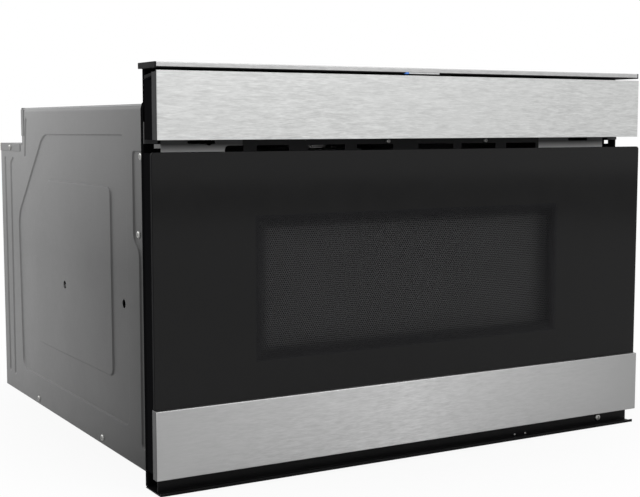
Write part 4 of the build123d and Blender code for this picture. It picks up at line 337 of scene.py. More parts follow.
@dataclass(frozen=True)
class BrushedSteel(Finish):
    """Stainless steel with its short brush lines along X.

    Attributes:
        fine_lines: Fine lines to the metre along each axis.
        coarse_lines: Coarse lines to the metre along each axis.
        coarse_share: How much the coarse lines count beside the fine ones.
        contrast: The lines' values at which they are darkest and lightest.
        sheen: Soft lighter patches to the metre along each axis.
        sheen_band: The noise's values between which they come out.
        sheen_share: How much those patches count at most.
        sheen_tone: How light they are.
        ends: Middle and reach in millimetres of a painted reflection, lighter in the middle and dimmer
            towards the ends, and the tone left there.
    """

    roughness: float = 0.36
    metallic: float = 1.0
    mottle: float = 0.17
    wear: Pair = (-0.05, 0.08)
    texture_depth: float = 0.02
    texture_strength: float = 0.35
    fine_lines: Triple = (120.0, 1500.0, 1500.0)
    coarse_lines: Triple = (60.0, 420.0, 420.0)
    coarse_share: float = 0.45
    contrast: Pair = (0.36, 0.64)
    sheen: Triple = (5.0, 9.0, 9.0)
    sheen_band: Pair = (0.35, 0.7)
    sheen_share: float = 0.35
    sheen_tone: float = 1.06
    ends: Triple | None = None

    def dress(self, recipe: Recipe) -> None:
        """Feeds the surface its brush lines.

        Args:
            recipe: The material in the making.
        """
        fine = recipe.noise(self.fine_lines, detail=3.0, rough=0.6)
        coarse = recipe.noise(self.coarse_lines, detail=3.0, rough=0.65)
        lines = recipe.weigh(fine, coarse, self.coarse_share)
        brushed = self.varied(recipe, recipe.band(lines, self.contrast))
        patches = recipe.noise(self.sheen, detail=3.0)
        patches = recipe.band(patches, self.sheen_band, (0.0, self.sheen_share))
        brushed = recipe.mix(patches, brushed, shade(self.colour, self.sheen_tone))
        # Painted reflection: lighter in the middle, darker towards the ends.
        if self.ends:
            middle, reach, least = self.ends
            painted_reflection_fall = recipe.band(recipe.away("X", middle), (0.0, reach * MM))
            brushed = recipe.mix(painted_reflection_fall, brushed, shade(self.colour, least))
        recipe.put(Base_Color=brushed)
        recipe.put(Roughness=self.worn(recipe, lines, MOST))
        self.grain(recipe, fine)


@dataclass(frozen=True)
class GalvanisedSheet(Finish):
    """Zinc-coated steel sheet: satin, with a faint spangle and rolling lines, and zones of painted light
    and shade where set.

    Attributes:
        flakes: Crystals to the metre.
        rolling: Rolling lines to the metre along each axis.
        rolling_share: How much those lines count beside the crystals.
        dull_band: The clouds' values between which dull patches come out.
        dull_share: How much those patches count at most.
        dull_tone: How dark they are.
        fade: Depths in millimetres between which the sheet lightens to the rear, and its tone in front:
            painted shade in front and painted reflection to the rear.
        rise: Heights in millimetres between which it lightens upwards, and by how much: painted light from
            above on the upper part and the rolled top edge.
        painted_lip_light: Heights in millimetres between which it lightens downwards, and its brightness
            below: a painted highlight on the lower band, out of the panel's shadow.
        painted_shade_span: Where a dark painted shade across the middle begins and ends along X, in
            millimetres.
        painted_shade_colour: The painted shade's dark colour.
        painted_shade_edge: How wide the painted shade's soft edge is, in millimetres.
    """

    roughness: float = 0.5
    metallic: float = 0.3
    specular: float = 0.3
    mottle: float = 0.05
    clouds: float = 5.0
    wear: Pair = (-0.04, 0.08)
    texture: float = 1400.0
    texture_depth: float = 0.02
    texture_strength: float = 0.4
    flakes: float = 150.0
    rolling: Triple = (18.0, 18.0, 900.0)
    rolling_share: float = 0.6
    dull_band: Pair = (0.4, 0.75)
    dull_share: float = 0.4
    dull_tone: float = 0.93
    fade: Triple | None = None
    rise: Triple | None = None
    painted_lip_light: Triple | None = None
    painted_shade_span: Pair | None = None
    painted_shade_colour: Triple = (0.02, 0.02, 0.021)
    painted_shade_edge: float = 0.5

    def dress(self, recipe: Recipe) -> None:
        """Feeds the surface its crystals, rolling lines and dull patches.

        Args:
            recipe: The material in the making.
        """
        split = recipe.nodes.new("ShaderNodeSeparateColor")
        recipe.feed(split.inputs[0], recipe.cells(self.flakes))
        tone = recipe.weigh(split.outputs[0], recipe.noise(self.rolling), self.rolling_share)
        patches = recipe.even_noise(self.clouds, detail=4.0, rough=0.6)
        dulled = recipe.band(patches, self.dull_band, (0.0, self.dull_share))
        sheet = recipe.mix(dulled, self.varied(recipe, tone), shade(self.colour, self.dull_tone))
        recipe.put(Base_Color=self.paint_light_and_shade(recipe, sheet))
        recipe.put(Roughness=self.worn(recipe, patches, MOST))
        self.grain(recipe, recipe.even_noise(self.texture, detail=3.0))

    def paint_light_and_shade(self, recipe: Recipe, sheet: Socket) -> Socket:
        """Paints light and shade onto the zones of the sheet that have them.

        Args:
            recipe: The material in the making.
            sheet: The even sheet's colour.

        Returns:
            The colour with its painted light and shade.
        """
        # Painted shade and reflection: darker in front, lighter towards the rear.
        if self.fade:
            front, back, least = self.fade
            rear = recipe.band(recipe.along("Y"), ((FRONT + front) * MM, (FRONT + back) * MM))
            sheet = recipe.mix(rear, shade(self.colour, least), sheet)
        # Painted light: lighter towards the top, lit from above.
        if self.rise:
            low, high, most = self.rise
            up = recipe.band(recipe.along("Z"), (low * MM, high * MM), (0.0, most))
            sheet = recipe.mix(up, sheet, WHITE)
        # Painted highlight: lighter below, where the strip comes out of the panel's shadow.
        if self.painted_lip_light:
            low, high, bright = self.painted_lip_light
            down = recipe.band(recipe.along("Z"), (low * MM, high * MM), FALLING)
            sheet = recipe.mix(down, sheet, shade(WHITE, bright))
        # Painted shade: a dark band across the middle, where the control panel shades the strip.
        if self.painted_shade_span:
            left, right = self.painted_shade_span
            half = (right - left) / 2
            edge = ((half - self.painted_shade_edge) * MM, half * MM)
            inside = recipe.band(recipe.away("X", (left + right) / 2), edge, FALLING)
            sheet = recipe.mix(inside, sheet, self.painted_shade_colour)
        return sheet


@dataclass(frozen=True)
class Glazing(Finish):
    """A polished pane: printed black, or tinted so that a little shows through.

    Attributes:
        solid: How much of what is behind it the pane hides, from 0 to 1.
        window: Left, right, low and high edge in millimetres of the zone that is see-through.
        fade: How wide the print's soft edge round that zone is, in millimetres.
        smears: Faint smears to the metre along each axis.
    """

    roughness: float = 0.06
    mottle: float = 0.08
    wear: Pair = (0.0, 0.05)
    texture: float = 55.0
    texture_depth: float = 0.004
    texture_strength: float = 0.2
    solid: float = 1.0
    window: Quad | None = None
    fade: float = 9.0
    smears: Triple = (30.0, 8.0, 22.0)

    def dress(self, recipe: Recipe) -> None:
        """Feeds the surface its smears, its print and its faint waviness.

        Args:
            recipe: The material in the making.
        """
        smears = recipe.noise(self.smears, detail=5.0, rough=0.65)
        recipe.put(Base_Color=self.varied(recipe, smears))
        recipe.put(Roughness=self.worn(recipe, smears, PEAKS))
        if self.window:
            left, right, low, high = self.window
            edges = []
            for axis, start, end in (("X", left, right), ("Z", low, high)):
                half = (end - start) / 2
                edge = ((half - self.fade) * MM, half * MM)
                edges.append(recipe.band(recipe.away(axis, (start + end) / 2), edge))
            print_share = recipe.reckon("MAXIMUM", *edges)
            recipe.put(Alpha=recipe.band(print_share, RISING, (self.solid, 1.0)))
        elif self.solid < 1.0:
            recipe.put(Alpha=self.solid)
        self.grain(recipe, recipe.even_noise(self.texture))


@dataclass(frozen=True)
class PerforatedSheet(Finish):
    """A screen of fine round holes in staggered rows across X and Z.

    Attributes:
        pitch: From hole to hole in a row, in millimetres.
        row_share: From row to row, as a share of the pitch.
        hole: A hole's width, as a share of the pitch.
        soft: How soft a hole's edge is, as a share of the pitch.
        hole_colour: What shows in a hole.
        hole_roughness: Its roughness.
    """

    mottle: float = 0.1
    clouds: float = 20.0
    texture_depth: float = 0.3
    texture_strength: float = 0.6
    pitch: float = 2.4
    row_share: float = 0.866
    hole: float = 0.66
    soft: float = 0.06
    hole_colour: Triple = (0.03, 0.03, 0.032)
    hole_roughness: float = 0.9

    def dress(self, recipe: Recipe) -> None:
        """Feeds the surface its holes.

        Args:
            recipe: The material in the making.
        """
        rows = recipe.reckon("DIVIDE", recipe.along("Z"), self.pitch * MM * self.row_share)
        odd = recipe.reckon("FLOORED_MODULO", recipe.reckon("FLOOR", rows), 2.0)
        across = recipe.reckon("DIVIDE", recipe.along("X"), self.pitch * MM)
        across = recipe.reckon("ADD", across, recipe.reckon("MULTIPLY", odd, 0.5))
        squares = []
        for value in (across, rows):
            off_middle = recipe.reckon("SUBTRACT", recipe.reckon("FRACT", value), 0.5)
            squares.append(recipe.reckon("MULTIPLY", off_middle, off_middle))
        reach = recipe.reckon("SQRT", recipe.reckon("ADD", *squares))
        metal = recipe.band(reach, (self.hole / 2 - self.soft, self.hole / 2 + self.soft))
        plain = self.varied(recipe, recipe.even_noise(self.clouds, detail=3.0))
        recipe.put(Base_Color=recipe.mix(metal, self.hole_colour, plain))
        recipe.put(Roughness=recipe.band(metal, RISING, (self.hole_roughness, self.roughness)))
        self.grain(recipe, metal)


@dataclass(frozen=True)
class Layered(Finish):
    """Fine even layers: a wire winding, or a stack of laminations.

    Attributes:
        stacked: The axis along which the layers follow each other.
        pitch: From layer to layer, in millimetres.
        groove_band: The wave's values between which a groove turns into a layer.
        groove: How much of a layer's colour is left in a groove.
        groove_tone: How dark the rest of it is.
        groove_roughness: The roughness there.
        groove_depth: Its depth, as a share of the pitch.
    """

    mottle: float = 0.15
    clouds: float = 60.0
    texture_strength: float = 0.6
    stacked: str = "Z"
    pitch: float = 0.8
    groove_band: Pair = (-1.0, 0.4)
    groove: float = 0.5
    groove_tone: float = 0.25
    groove_roughness: float = 0.8
    groove_depth: float = 0.3

    def dress(self, recipe: Recipe) -> None:
        """Feeds the surface its layers.

        Args:
            recipe: The material in the making.
        """
        turns = recipe.reckon("MULTIPLY", recipe.along(self.stacked), math.tau / (self.pitch * MM))
        wave = recipe.reckon("SINE", turns)
        layer = recipe.band(wave, self.groove_band, (self.groove, 1.0))
        plain = self.varied(recipe, recipe.even_noise(self.clouds, detail=3.0))
        recipe.put(Base_Color=recipe.mix(layer, shade(self.colour, self.groove_tone), plain))
        recipe.put(Roughness=recipe.band(layer, RISING, (self.groove_roughness, self.roughness)))
        recipe.relief(wave, self.pitch * self.groove_depth, self.texture_strength)


@dataclass(frozen=True)
class PrintedBoard(Finish):
    """A lacquered circuit board with its copper tracks under the lacquer.

    Attributes:
        track: The tracks' colour.
        tracks: Fields between the tracks to the metre.
        track_edge: How far from a field's edge a track ends, as a share of a field.
    """

    clouds: float = 70.0
    wear: Pair = (-0.07, 0.07)
    texture_depth: float = 0.04
    track: Triple = (0.10, 0.34, 0.16)
    tracks: float = 190.0
    track_edge: Pair = (0.05, 0.09)

    def dress(self, recipe: Recipe) -> None:
        """Feeds the surface its tracks.

        Args:
            recipe: The material in the making.
        """
        across = recipe.cells(self.tracks, "DISTANCE_TO_EDGE", "Distance")
        tracks = recipe.band(across, self.track_edge, FALLING)
        recipe.put(Base_Color=recipe.mix(tracks, self.colour, self.track))
        recipe.put(Roughness=self.worn(recipe, recipe.even_noise(self.clouds, detail=3.0), MOST))
        self.grain(recipe, tracks)


@dataclass(frozen=True)
class Lens(Finish):
    """A lens lit from behind at its left end, with a pale unlit strip beside it.

    Attributes:
        glow: How strongly it is lit.
        lit_until: Where the lit end stops along X, in millimetres.
        lit_edge: How wide its soft edge is, in millimetres.
        unlit: The pale strip's colour.
    """

    roughness: float = 0.2
    mottle: float = 0.2
    clouds: float = 300.0
    wear: Pair = (0.0, 0.15)
    glow: float = 0.45
    lit_until: float = -18.5
    lit_edge: float = 0.3
    unlit: Triple = (0.86, 0.87, 0.88)

    def dress(self, recipe: Recipe) -> None:
        """Feeds the surface its light.

        Args:
            recipe: The material in the making.
        """
        core = recipe.even_noise(self.clouds)
        edge = ((self.lit_until - self.lit_edge) * MM, self.lit_until * MM)
        dark = recipe.band(recipe.along("X"), edge)
        tint = self.varied(recipe, core)
        recipe.put(Base_Color=recipe.mix(dark, tint, self.unlit))
        recipe.put(Emission_Color=recipe.mix(dark, tint, BLACK), Emission_Strength=self.glow)
        recipe.put(Roughness=self.worn(recipe, core, RISING))


class Stock(Enum):
    """The materials the oven is made from, by the slot they dress."""

    GALVANISED = GalvanisedSheet("galvanised_steel", (0.36, 0.365, 0.37))
    BLACK_STEEL = Finish("black_steel", (0.0035, 0.0035, 0.0038), 0.5, specular=0.0)
    STAINLESS = BrushedSteel("stainless", (0.565, 0.57, 0.565))
    BLACK_PLASTIC = Finish("black_plastic", (0.005, 0.005, 0.0055), 0.6, specular=0.0, texture=3200.0)
    DOOR_PRINT = Glazing("door_glass", (0.0102, 0.0102, 0.0104), specular=0.15)
    CLEAR_GLASS = Glazing("clear_glass", (0.30, 0.31, 0.31), solid=0.25)
    CONTROL_GLASS = Glazing("control_glass", (0.006, 0.006, 0.007), specular=0.4)
    STATUS_LENS = Lens("status_lens", (0.06, 0.2, 0.6))
    CAVITY_STEEL = Finish("cavity_steel", (0.46, 0.46, 0.455), 0.35, texture_depth=0.015)
    MICA = Finish("mica", (0.60, 0.56, 0.48), 0.55, mottle=0.12)
    SCREEN_METAL = PerforatedSheet("screen_metal", (0.60, 0.60, 0.60), 0.4)
    TRAY_PLASTIC = Finish("tray_plastic", (0.58, 0.58, 0.57), 0.4)
    TRAY_CERAMIC = Finish("tray_ceramic", (0.78, 0.78, 0.76), 0.12, coat=0.4, texture_depth=0.01)
    ALUMINIUM = Finish("aluminium", (0.72, 0.73, 0.74), 0.35, metallic=1.0)
    CORE_STEEL = Layered("core_steel", (0.16, 0.16, 0.165), 0.5, metallic=0.8, stacked="Y", pitch=1.2)
    COPPER_COIL = Layered("copper_coil", (0.55, 0.22, 0.09), 0.32, metallic=0.9, pitch=1.0)
    BOARD = PrintedBoard("board", (0.03, 0.16, 0.07), 0.35)
    WHITE_PLASTIC = Finish("white_plastic", (0.76, 0.76, 0.73), 0.42)
    ZINC_STEEL = Finish("zinc_steel", (0.66, 0.66, 0.65), 0.3, metallic=1.0, texture_depth=0.015)


class Extra(Enum):
    """Finishes that only one piece, or a part of one, has."""

    # The sides: painted shade in front, painted reflection to the rear and painted light towards the top.
    SIDE_SHEET = GalvanisedSheet(
        "side_sheet_painted_light_and_shade",
        (0.205, 0.205, 0.205),
        specular=0.15,
        fade=(60.0, 480.0, 0.25),
        rise=(200.0, 370.0, 0.09),
    )
    STEP_SHEET = GalvanisedSheet("step_sheet", (0.225, 0.225, 0.225), specular=0.15)
    # Vent strip: a dark tone as painted shade under the control panel, a darker painted shade across its
    # middle and a painted highlight on its lower band.
    VENT_SHEET_PAINTED_SHADE = GalvanisedSheet(
        "vent_sheet_painted_shade_and_light", (0.105, 0.105, 0.107), painted_shade_span=(-194.0, 180.0), painted_lip_light=(323.0, 330.5, 0.95)
    )
    TOP_TRIM = BrushedSteel("stainless_top", (0.46, 0.46, 0.46))
    CARRIER_BLACK = Finish("carrier_black", (0.009, 0.009, 0.0093), 0.55, specular=0.05)
    RAIL_BLACK = Finish("rail_black", (0.0035, 0.0035, 0.0038), 0.35, specular=0.12)
    BRACKET = Finish("bracket_steel", (0.05, 0.05, 0.052), 0.45, metallic=0.6, specular=0.2)
    # The lower trim: a painted reflection, lighter in the middle and dimmer towards its ends.
    LOWER_TRIM = BrushedSteel("stainless_low", (0.62, 0.62, 0.62), ends=(-20.0, 330.0, 0.6))
    GLASS_EDGE = Finish("glass_edge", (0.004, 0.004, 0.0045), 0.4, specular=0.02)
    CASE_SCREW = Finish("case_screw", (0.36, 0.36, 0.35), 0.38, metallic=1.0, texture_depth=0.015)
    # Painted shade: darker copies for the side returns of the fascia and of the lower trim.
    TRIM_RETURN_PAINTED_SHADE = Finish("trim_return_painted_shade", (0.028, 0.028, 0.029), 0.5, specular=0.06)
    LOW_RETURN_PAINTED_SHADE = Finish("low_trim_return", (0.08, 0.08, 0.081), 0.5, specular=0.2)
    WINDOW_TINT = Glazing(
        "window_tint",
        (0.008, 0.008, 0.009),
        specular=0.15,
        solid=0.5,
        window=(-196.0, 182.0, 119.0, 262.0),
        fade=14.0,
    )
    PARTS_BLACK = Finish("board_parts", (0.02, 0.02, 0.022), 0.4)
    LEGEND = Finish("legend_print", (0.75, 0.77, 0.79), 0.5)
    DISPLAY = Finish("display_lens", (0.02, 0.024, 0.03), 0.15, coat=0.5)


class Wardrobe:
    """Every finish, made once when it is first asked for."""

    def __init__(self) -> None:
        """Starts with no finish made."""
        self.made: dict[str, bpy.types.Material] = {}

    def get(self, finish: Finish) -> bpy.types.Material:
        """The material of a finish.

        Args:
            finish: The finish that is asked for.

        Returns:
            Its one material.
        """
        if finish.name not in self.made:
            self.made[finish.name] = finish.make()
        return self.made[finish.name]


WARDROBE = Wardrobe()


# ---------------------------------------------------------------- forms
class Form:
    """A mesh in the making, in the oven's own frame."""

    def __init__(self, name: str) -> None:
        """Starts an empty mesh for the piece that will have this name."""
        self.name = name
        self.mesh: BMesh = bmesh.new()

    def ring(self, places: list[Vector], corner: float = 0.0, segments: int = 6) -> list[BMEdge]:
        """A closed loop of edges with no face, its corners rounded.

        Args:
            places: The corners in order.
            corner: How far back from a corner its rounding begins, in millimetres.
            segments: Cuts in each rounded corner.

        Returns:
            The loop's edges.
        """
        before = set(self.mesh.edges)
        face = self.mesh.faces.new([self.mesh.verts.new(place) for place in places])
        if corner:
            self.round_corners(list(face.verts), corner, segments)
        mine = [edge for edge in self.mesh.edges if edge not in before]
        made = list(dict.fromkeys(face for edge in mine for face in edge.link_faces))
        bmesh.ops.delete(self.mesh, geom=made, context="FACES_ONLY")
        return mine

    def circle(self, centre: Vector, normal: Vector, radius: float, segments: int = 16) -> list[BMEdge]:
        """A closed round loop of edges with no face.

        Args:
            centre: Its middle.
            normal: The direction it faces.
            radius: In millimetres.
            segments: How many edges it has.

        Returns:
            The loop's edges.
        """
        turn = Vector((0, 0, 1)).rotation_difference(normal).to_matrix().to_4x4()
        place = Matrix.Translation(centre) @ turn
        made = bmesh.ops.create_circle(
            self.mesh, cap_ends=False, radius=radius * MM, segments=segments, matrix=place
        )
        return list(dict.fromkeys(edge for vert in made["verts"] for edge in vert.link_edges))

    def fill(self, loops: list[list[BMEdge]], normal: Vector) -> None:
        """Makes flat faces between an outer loop and the loops inside it.

        Args:
            loops: The outer loop and the inner ones.
            normal: The direction the faces get.
        """
        edges = [edge for loop in loops for edge in loop]
        made = bmesh.ops.triangle_fill(
            self.mesh, use_beauty=True, use_dissolve=False, edges=edges, normal=normal
        )["geom"]
        wrong = [item for item in made if isinstance(item, BMFace) and item.normal.dot(normal) < 0]
        if wrong:
            bmesh.ops.reverse_faces(self.mesh, faces=wrong)

    def cap(self, loop: list[BMEdge], normal: Vector) -> BMFace:
        """Makes one face across a loop.

        Args:
            loop: The loop's edges.
            normal: The direction the face gets.

        Returns:
            The face.
        """
        made = bmesh.ops.contextual_create(self.mesh, geom=loop)["faces"][0]
        made.normal_update()
        if made.normal.dot(normal) < 0:
            bmesh.ops.reverse_faces(self.mesh, faces=[made])
            made.normal_update()
        return made

    def press(self, face: BMFace, steps: list[Pair]) -> list[BMEdge]:
        """Presses a face out or in through steps of inset and depth, and opens it.

        Args:
            face: The flat face inside the pressing.
            steps: Inset and depth of each step, in millimetres.

        Returns:
            The loop left round the opened face.
        """
        for inset, depth in steps:
            bmesh.ops.inset_region(
                self.mesh,
                faces=[face],
                thickness=inset * MM,
                depth=depth * MM,
                use_even_offset=True,
                use_boundary=True,
            )
        loop = list(face.edges)
        bmesh.ops.delete(self.mesh, geom=[face], context="FACES_ONLY")
        return loop

    def round(self, edges: list[BMEdge], width: float, segments: int = 2) -> None:
        """Rounds edges.

        Args:
            edges: The edges.
            width: How far back from an edge its rounding begins, in millimetres.
            segments: Cuts in the rounding.
        """
        bmesh.ops.bevel(
            self.mesh,
            geom=edges,
            offset=width * MM,
            segments=segments,
            profile=0.5,
            affect="EDGES",
            material=-1,
            clamp_overlap=True,
        )

    def round_corners(self, verts: list[BMVert], width: float, segments: int) -> None:
        """Rounds the corners of a flat face.

        Args:
            verts: The corners.
            width: How far back from a corner its rounding begins, in millimetres.
            segments: Cuts in the rounding.
        """
        bmesh.ops.bevel(
            self.mesh,
            geom=verts,
            offset=width * MM,
            segments=segments,
            profile=0.5,
            affect="VERTICES",
            material=-1,
        )

    def sharp(self, turn: float) -> list[BMEdge]:
        """The edges between two faces that turn by more than this many degrees."""
        inner = (edge for edge in self.mesh.edges if len(edge.link_faces) == 2)
        return [edge for edge in inner if edge.calc_face_angle(0.0) > math.radians(turn)]

    def finish(
        self,
        body: str,
        finishes: list[Finish],
        slot: str,
        replaced: tuple[str, ...] = (),
        outward: bool = True,
        smooth: float = 40.0,
    ) -> bpy.types.Object:
        """slot: The record's material slot; not used. its mesh, its finishes, what it rides on and what it
        stands for.

        Args:
            body: The moving group it rides on.
            finishes: Its finishes, by material index.
            slot: The record's material slot.
            replaced: The solids it stands for.
            outward: Whether to turn all faces outwards first.
            smooth: Edges that turn less than this many degrees shade smooth.

        Returns:
            The finished object.
        """
        if outward:
            bmesh.ops.recalc_face_normals(self.mesh, faces=list(self.mesh.faces))
        data = bpy.data.meshes.new(self.name)
        self.mesh.to_mesh(data)
        self.mesh.free()
        for finish in finishes:
            data.materials.append(WARDROBE.get(finish))
        data.shade_smooth()
        data.set_sharp_from_angle(angle=math.radians(smooth))
        piece = bpy.data.objects.new(self.name, data)
        bpy.context.scene.collection.objects.link(piece)
        even = piece.modifiers.new("even_shading", "WEIGHTED_NORMAL")
        even.keep_sharp = True
        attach(piece, body)
        if replaced:
            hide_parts(*replaced)
        LOG.info("%s: %d faces on %s", self.name, len(data.polygons), body)
        return piece


# ---------------------------------------------------------------- sub-assemblies
WHOLE = {
    # The vent strip's finish has painted shade and a painted highlight.
    "vent_grille": Extra.VENT_SHEET_PAINTED_SHADE,
    "rear_step_cover": Extra.STEP_SHEET,
    "top_trim": Extra.TOP_TRIM,
    "top_trim_carrier": Extra.CARRIER_BLACK,
    "hinge_brackets": Extra.BRACKET,
    "bottom_trim": Extra.RAIL_BLACK,
}

# The fascia's and the lower trim's returns get a darker painted shade; the glass's edge gets its own dark
# finish.
FRONT_AND_RETURN = {
    "panel_fascia": (Stock.STAINLESS, Extra.TRIM_RETURN_PAINTED_SHADE),
    "panel_glass": (Stock.CONTROL_GLASS, Extra.GLASS_EDGE),
    "door_lower_trim": (Extra.LOWER_TRIM, Extra.LOW_RETURN_PAINTED_SHADE),
}


@dataclass
class SoftEdges:
    """Solids kept in shape, with every hard edge broken as a real sheet or moulding has it.

    Attributes:
        widths: How far back each solid's edges are broken, in millimetres.
        flat_turn: Faces that turn less than this many degrees become one.
        hard_turn: Edges that turn more than this many degrees are broken.
        rim_turn: The same for the top cover's rim, which is rolled.
        rim_reach: Where that rim begins on both sides and upwards, in millimetres.
        rim_width: How far back the rim is rolled, in millimetres.
        side_share: How far a face looks sideways to count as a trim's return.
        board_sheet: A circuit board's thickness, above which its parts begin, in millimetres.
    """

    widths: dict[str, float] = field(
        default_factory=lambda: {
            "front_frame": 0.5,
            "top_trim": 0.25,
            "top_trim_carrier": 0.4,
            "bottom_trim": 0.35,
            "rear_step_cover": 0.35,
            "back_plate": 0.3,
            "top_cover": 0.35,
            "base_plate": 0.3,
            "vent_grille": 0.3,
            "panel_fascia": 0.8,
            "panel_glass": 0.15,
            "panel_housing": 0.4,
            "hinge_brackets": 0.35,
            "door_lower_trim": 0.6,
            "door_frame": 0.6,
            "choke_cover": 0.5,
            "latch_prongs": 0.5,
            "slide_outer_members": 0.35,
            "slide_middle_members": 0.35,
            "slide_inner_members": 0.35,
            "rail_brackets": 0.4,
            "drawer_rack": 0.2,
            "drawer_pinion": 0.25,
            "panel_pinion": 0.15,
            "drive_bracket": 0.5,
            "drawer_motor": 0.6,
            "cord_inlet": 0.4,
            "magnetron_yoke": 0.5,
            "hv_transformer_core": 0.4,
            "hv_capacitor": 0.8,
            "fan_blade": 0.3,
            "interlock_switches": 0.3,
            "stirrer_motor": 0.5,
            "drawer_tray": 0.9,
            "tray_base": 0.6,
            "control_board": 0.2,
            "noise_filter": 0.2,
            "fan_shroud": 0.4,
            "oven_cavity": 0.5,
            "door_inner_panel": 0.4,
        }
    )
    flat_turn: float = 0.5
    hard_turn: float = 45.0
    rim_turn: float = 60.0
    rim_reach: Pair = (276.5, 369.5)
    rim_width: float = 5.0
    side_share: float = 0.8
    board_sheet: float = 7.8

    def zones(self, node: str, form: Form, plain: Finish) -> list[Finish]:
        """Gives a second finish to the part of a piece that has one.

        Args:
            node: The solid.
            form: Its softened mesh.
            plain: The finish of its slot.

        Returns:
            The piece's finishes, by material index.
        """
        if node in WHOLE:
            return [WHOLE[node].value]
        # The trims' side returns get their painted shade here.
        if node in FRONT_AND_RETURN:
            for face in form.mesh.faces:
                face.material_index = int(abs(face.normal.x) > self.side_share)
            return [kind.value for kind in FRONT_AND_RETURN[node]]
        if node in ("control_board", "noise_filter"):
            sheet_top = min(vert.co.z for vert in form.mesh.verts) + self.board_sheet * MM
            for face in form.mesh.faces:
                face.material_index = int(face.calc_center_median().z > sheet_top)
            return [plain, Extra.PARTS_BLACK.value]
        return [plain]

    def soften(self, form: Form, node: str) -> None:
        """Merges a solid's loose triangles and breaks its hard edges.

        Args:
            form: A copy of the solid's mesh.
            node: The solid.
        """
        mesh = form.mesh
        bmesh.ops.remove_doubles(mesh, verts=list(mesh.verts), dist=SAME_PLACE)
        bmesh.ops.dissolve_limit(
            mesh, angle_limit=math.radians(self.flat_turn), verts=list(mesh.verts), edges=list(mesh.edges)
        )
        if node == "top_cover":
            side, high = (reach * MM for reach in self.rim_reach)
            rim = [
                edge
                for edge in form.sharp(self.rim_turn)
                if all(vert.co.z > high and abs(vert.co.x) > side for vert in edge.verts)
            ]
            form.round(rim, self.rim_width, segments=5)
        form.round(form.sharp(self.hard_turn), self.widths[node])

    def build(self, frame: Frame) -> None:
        """Makes a softened piece for each solid named.
        """
        slots = {part["node"]: part["material_slot"] for part in frame["record"]["subparts"]}
        stock = {kind.value.name: kind.value for kind in Stock}
        for node in self.widths:
            source = frame["nodes"][node]
            form = Form(f"{node}_soft")
            form.mesh.from_mesh(source.data)
            self.soften(form, node)
            finishes = self.zones(node, form, stock[slots[node]])
            form.finish(source["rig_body"], finishes, slots[node], (node,), outward=False)


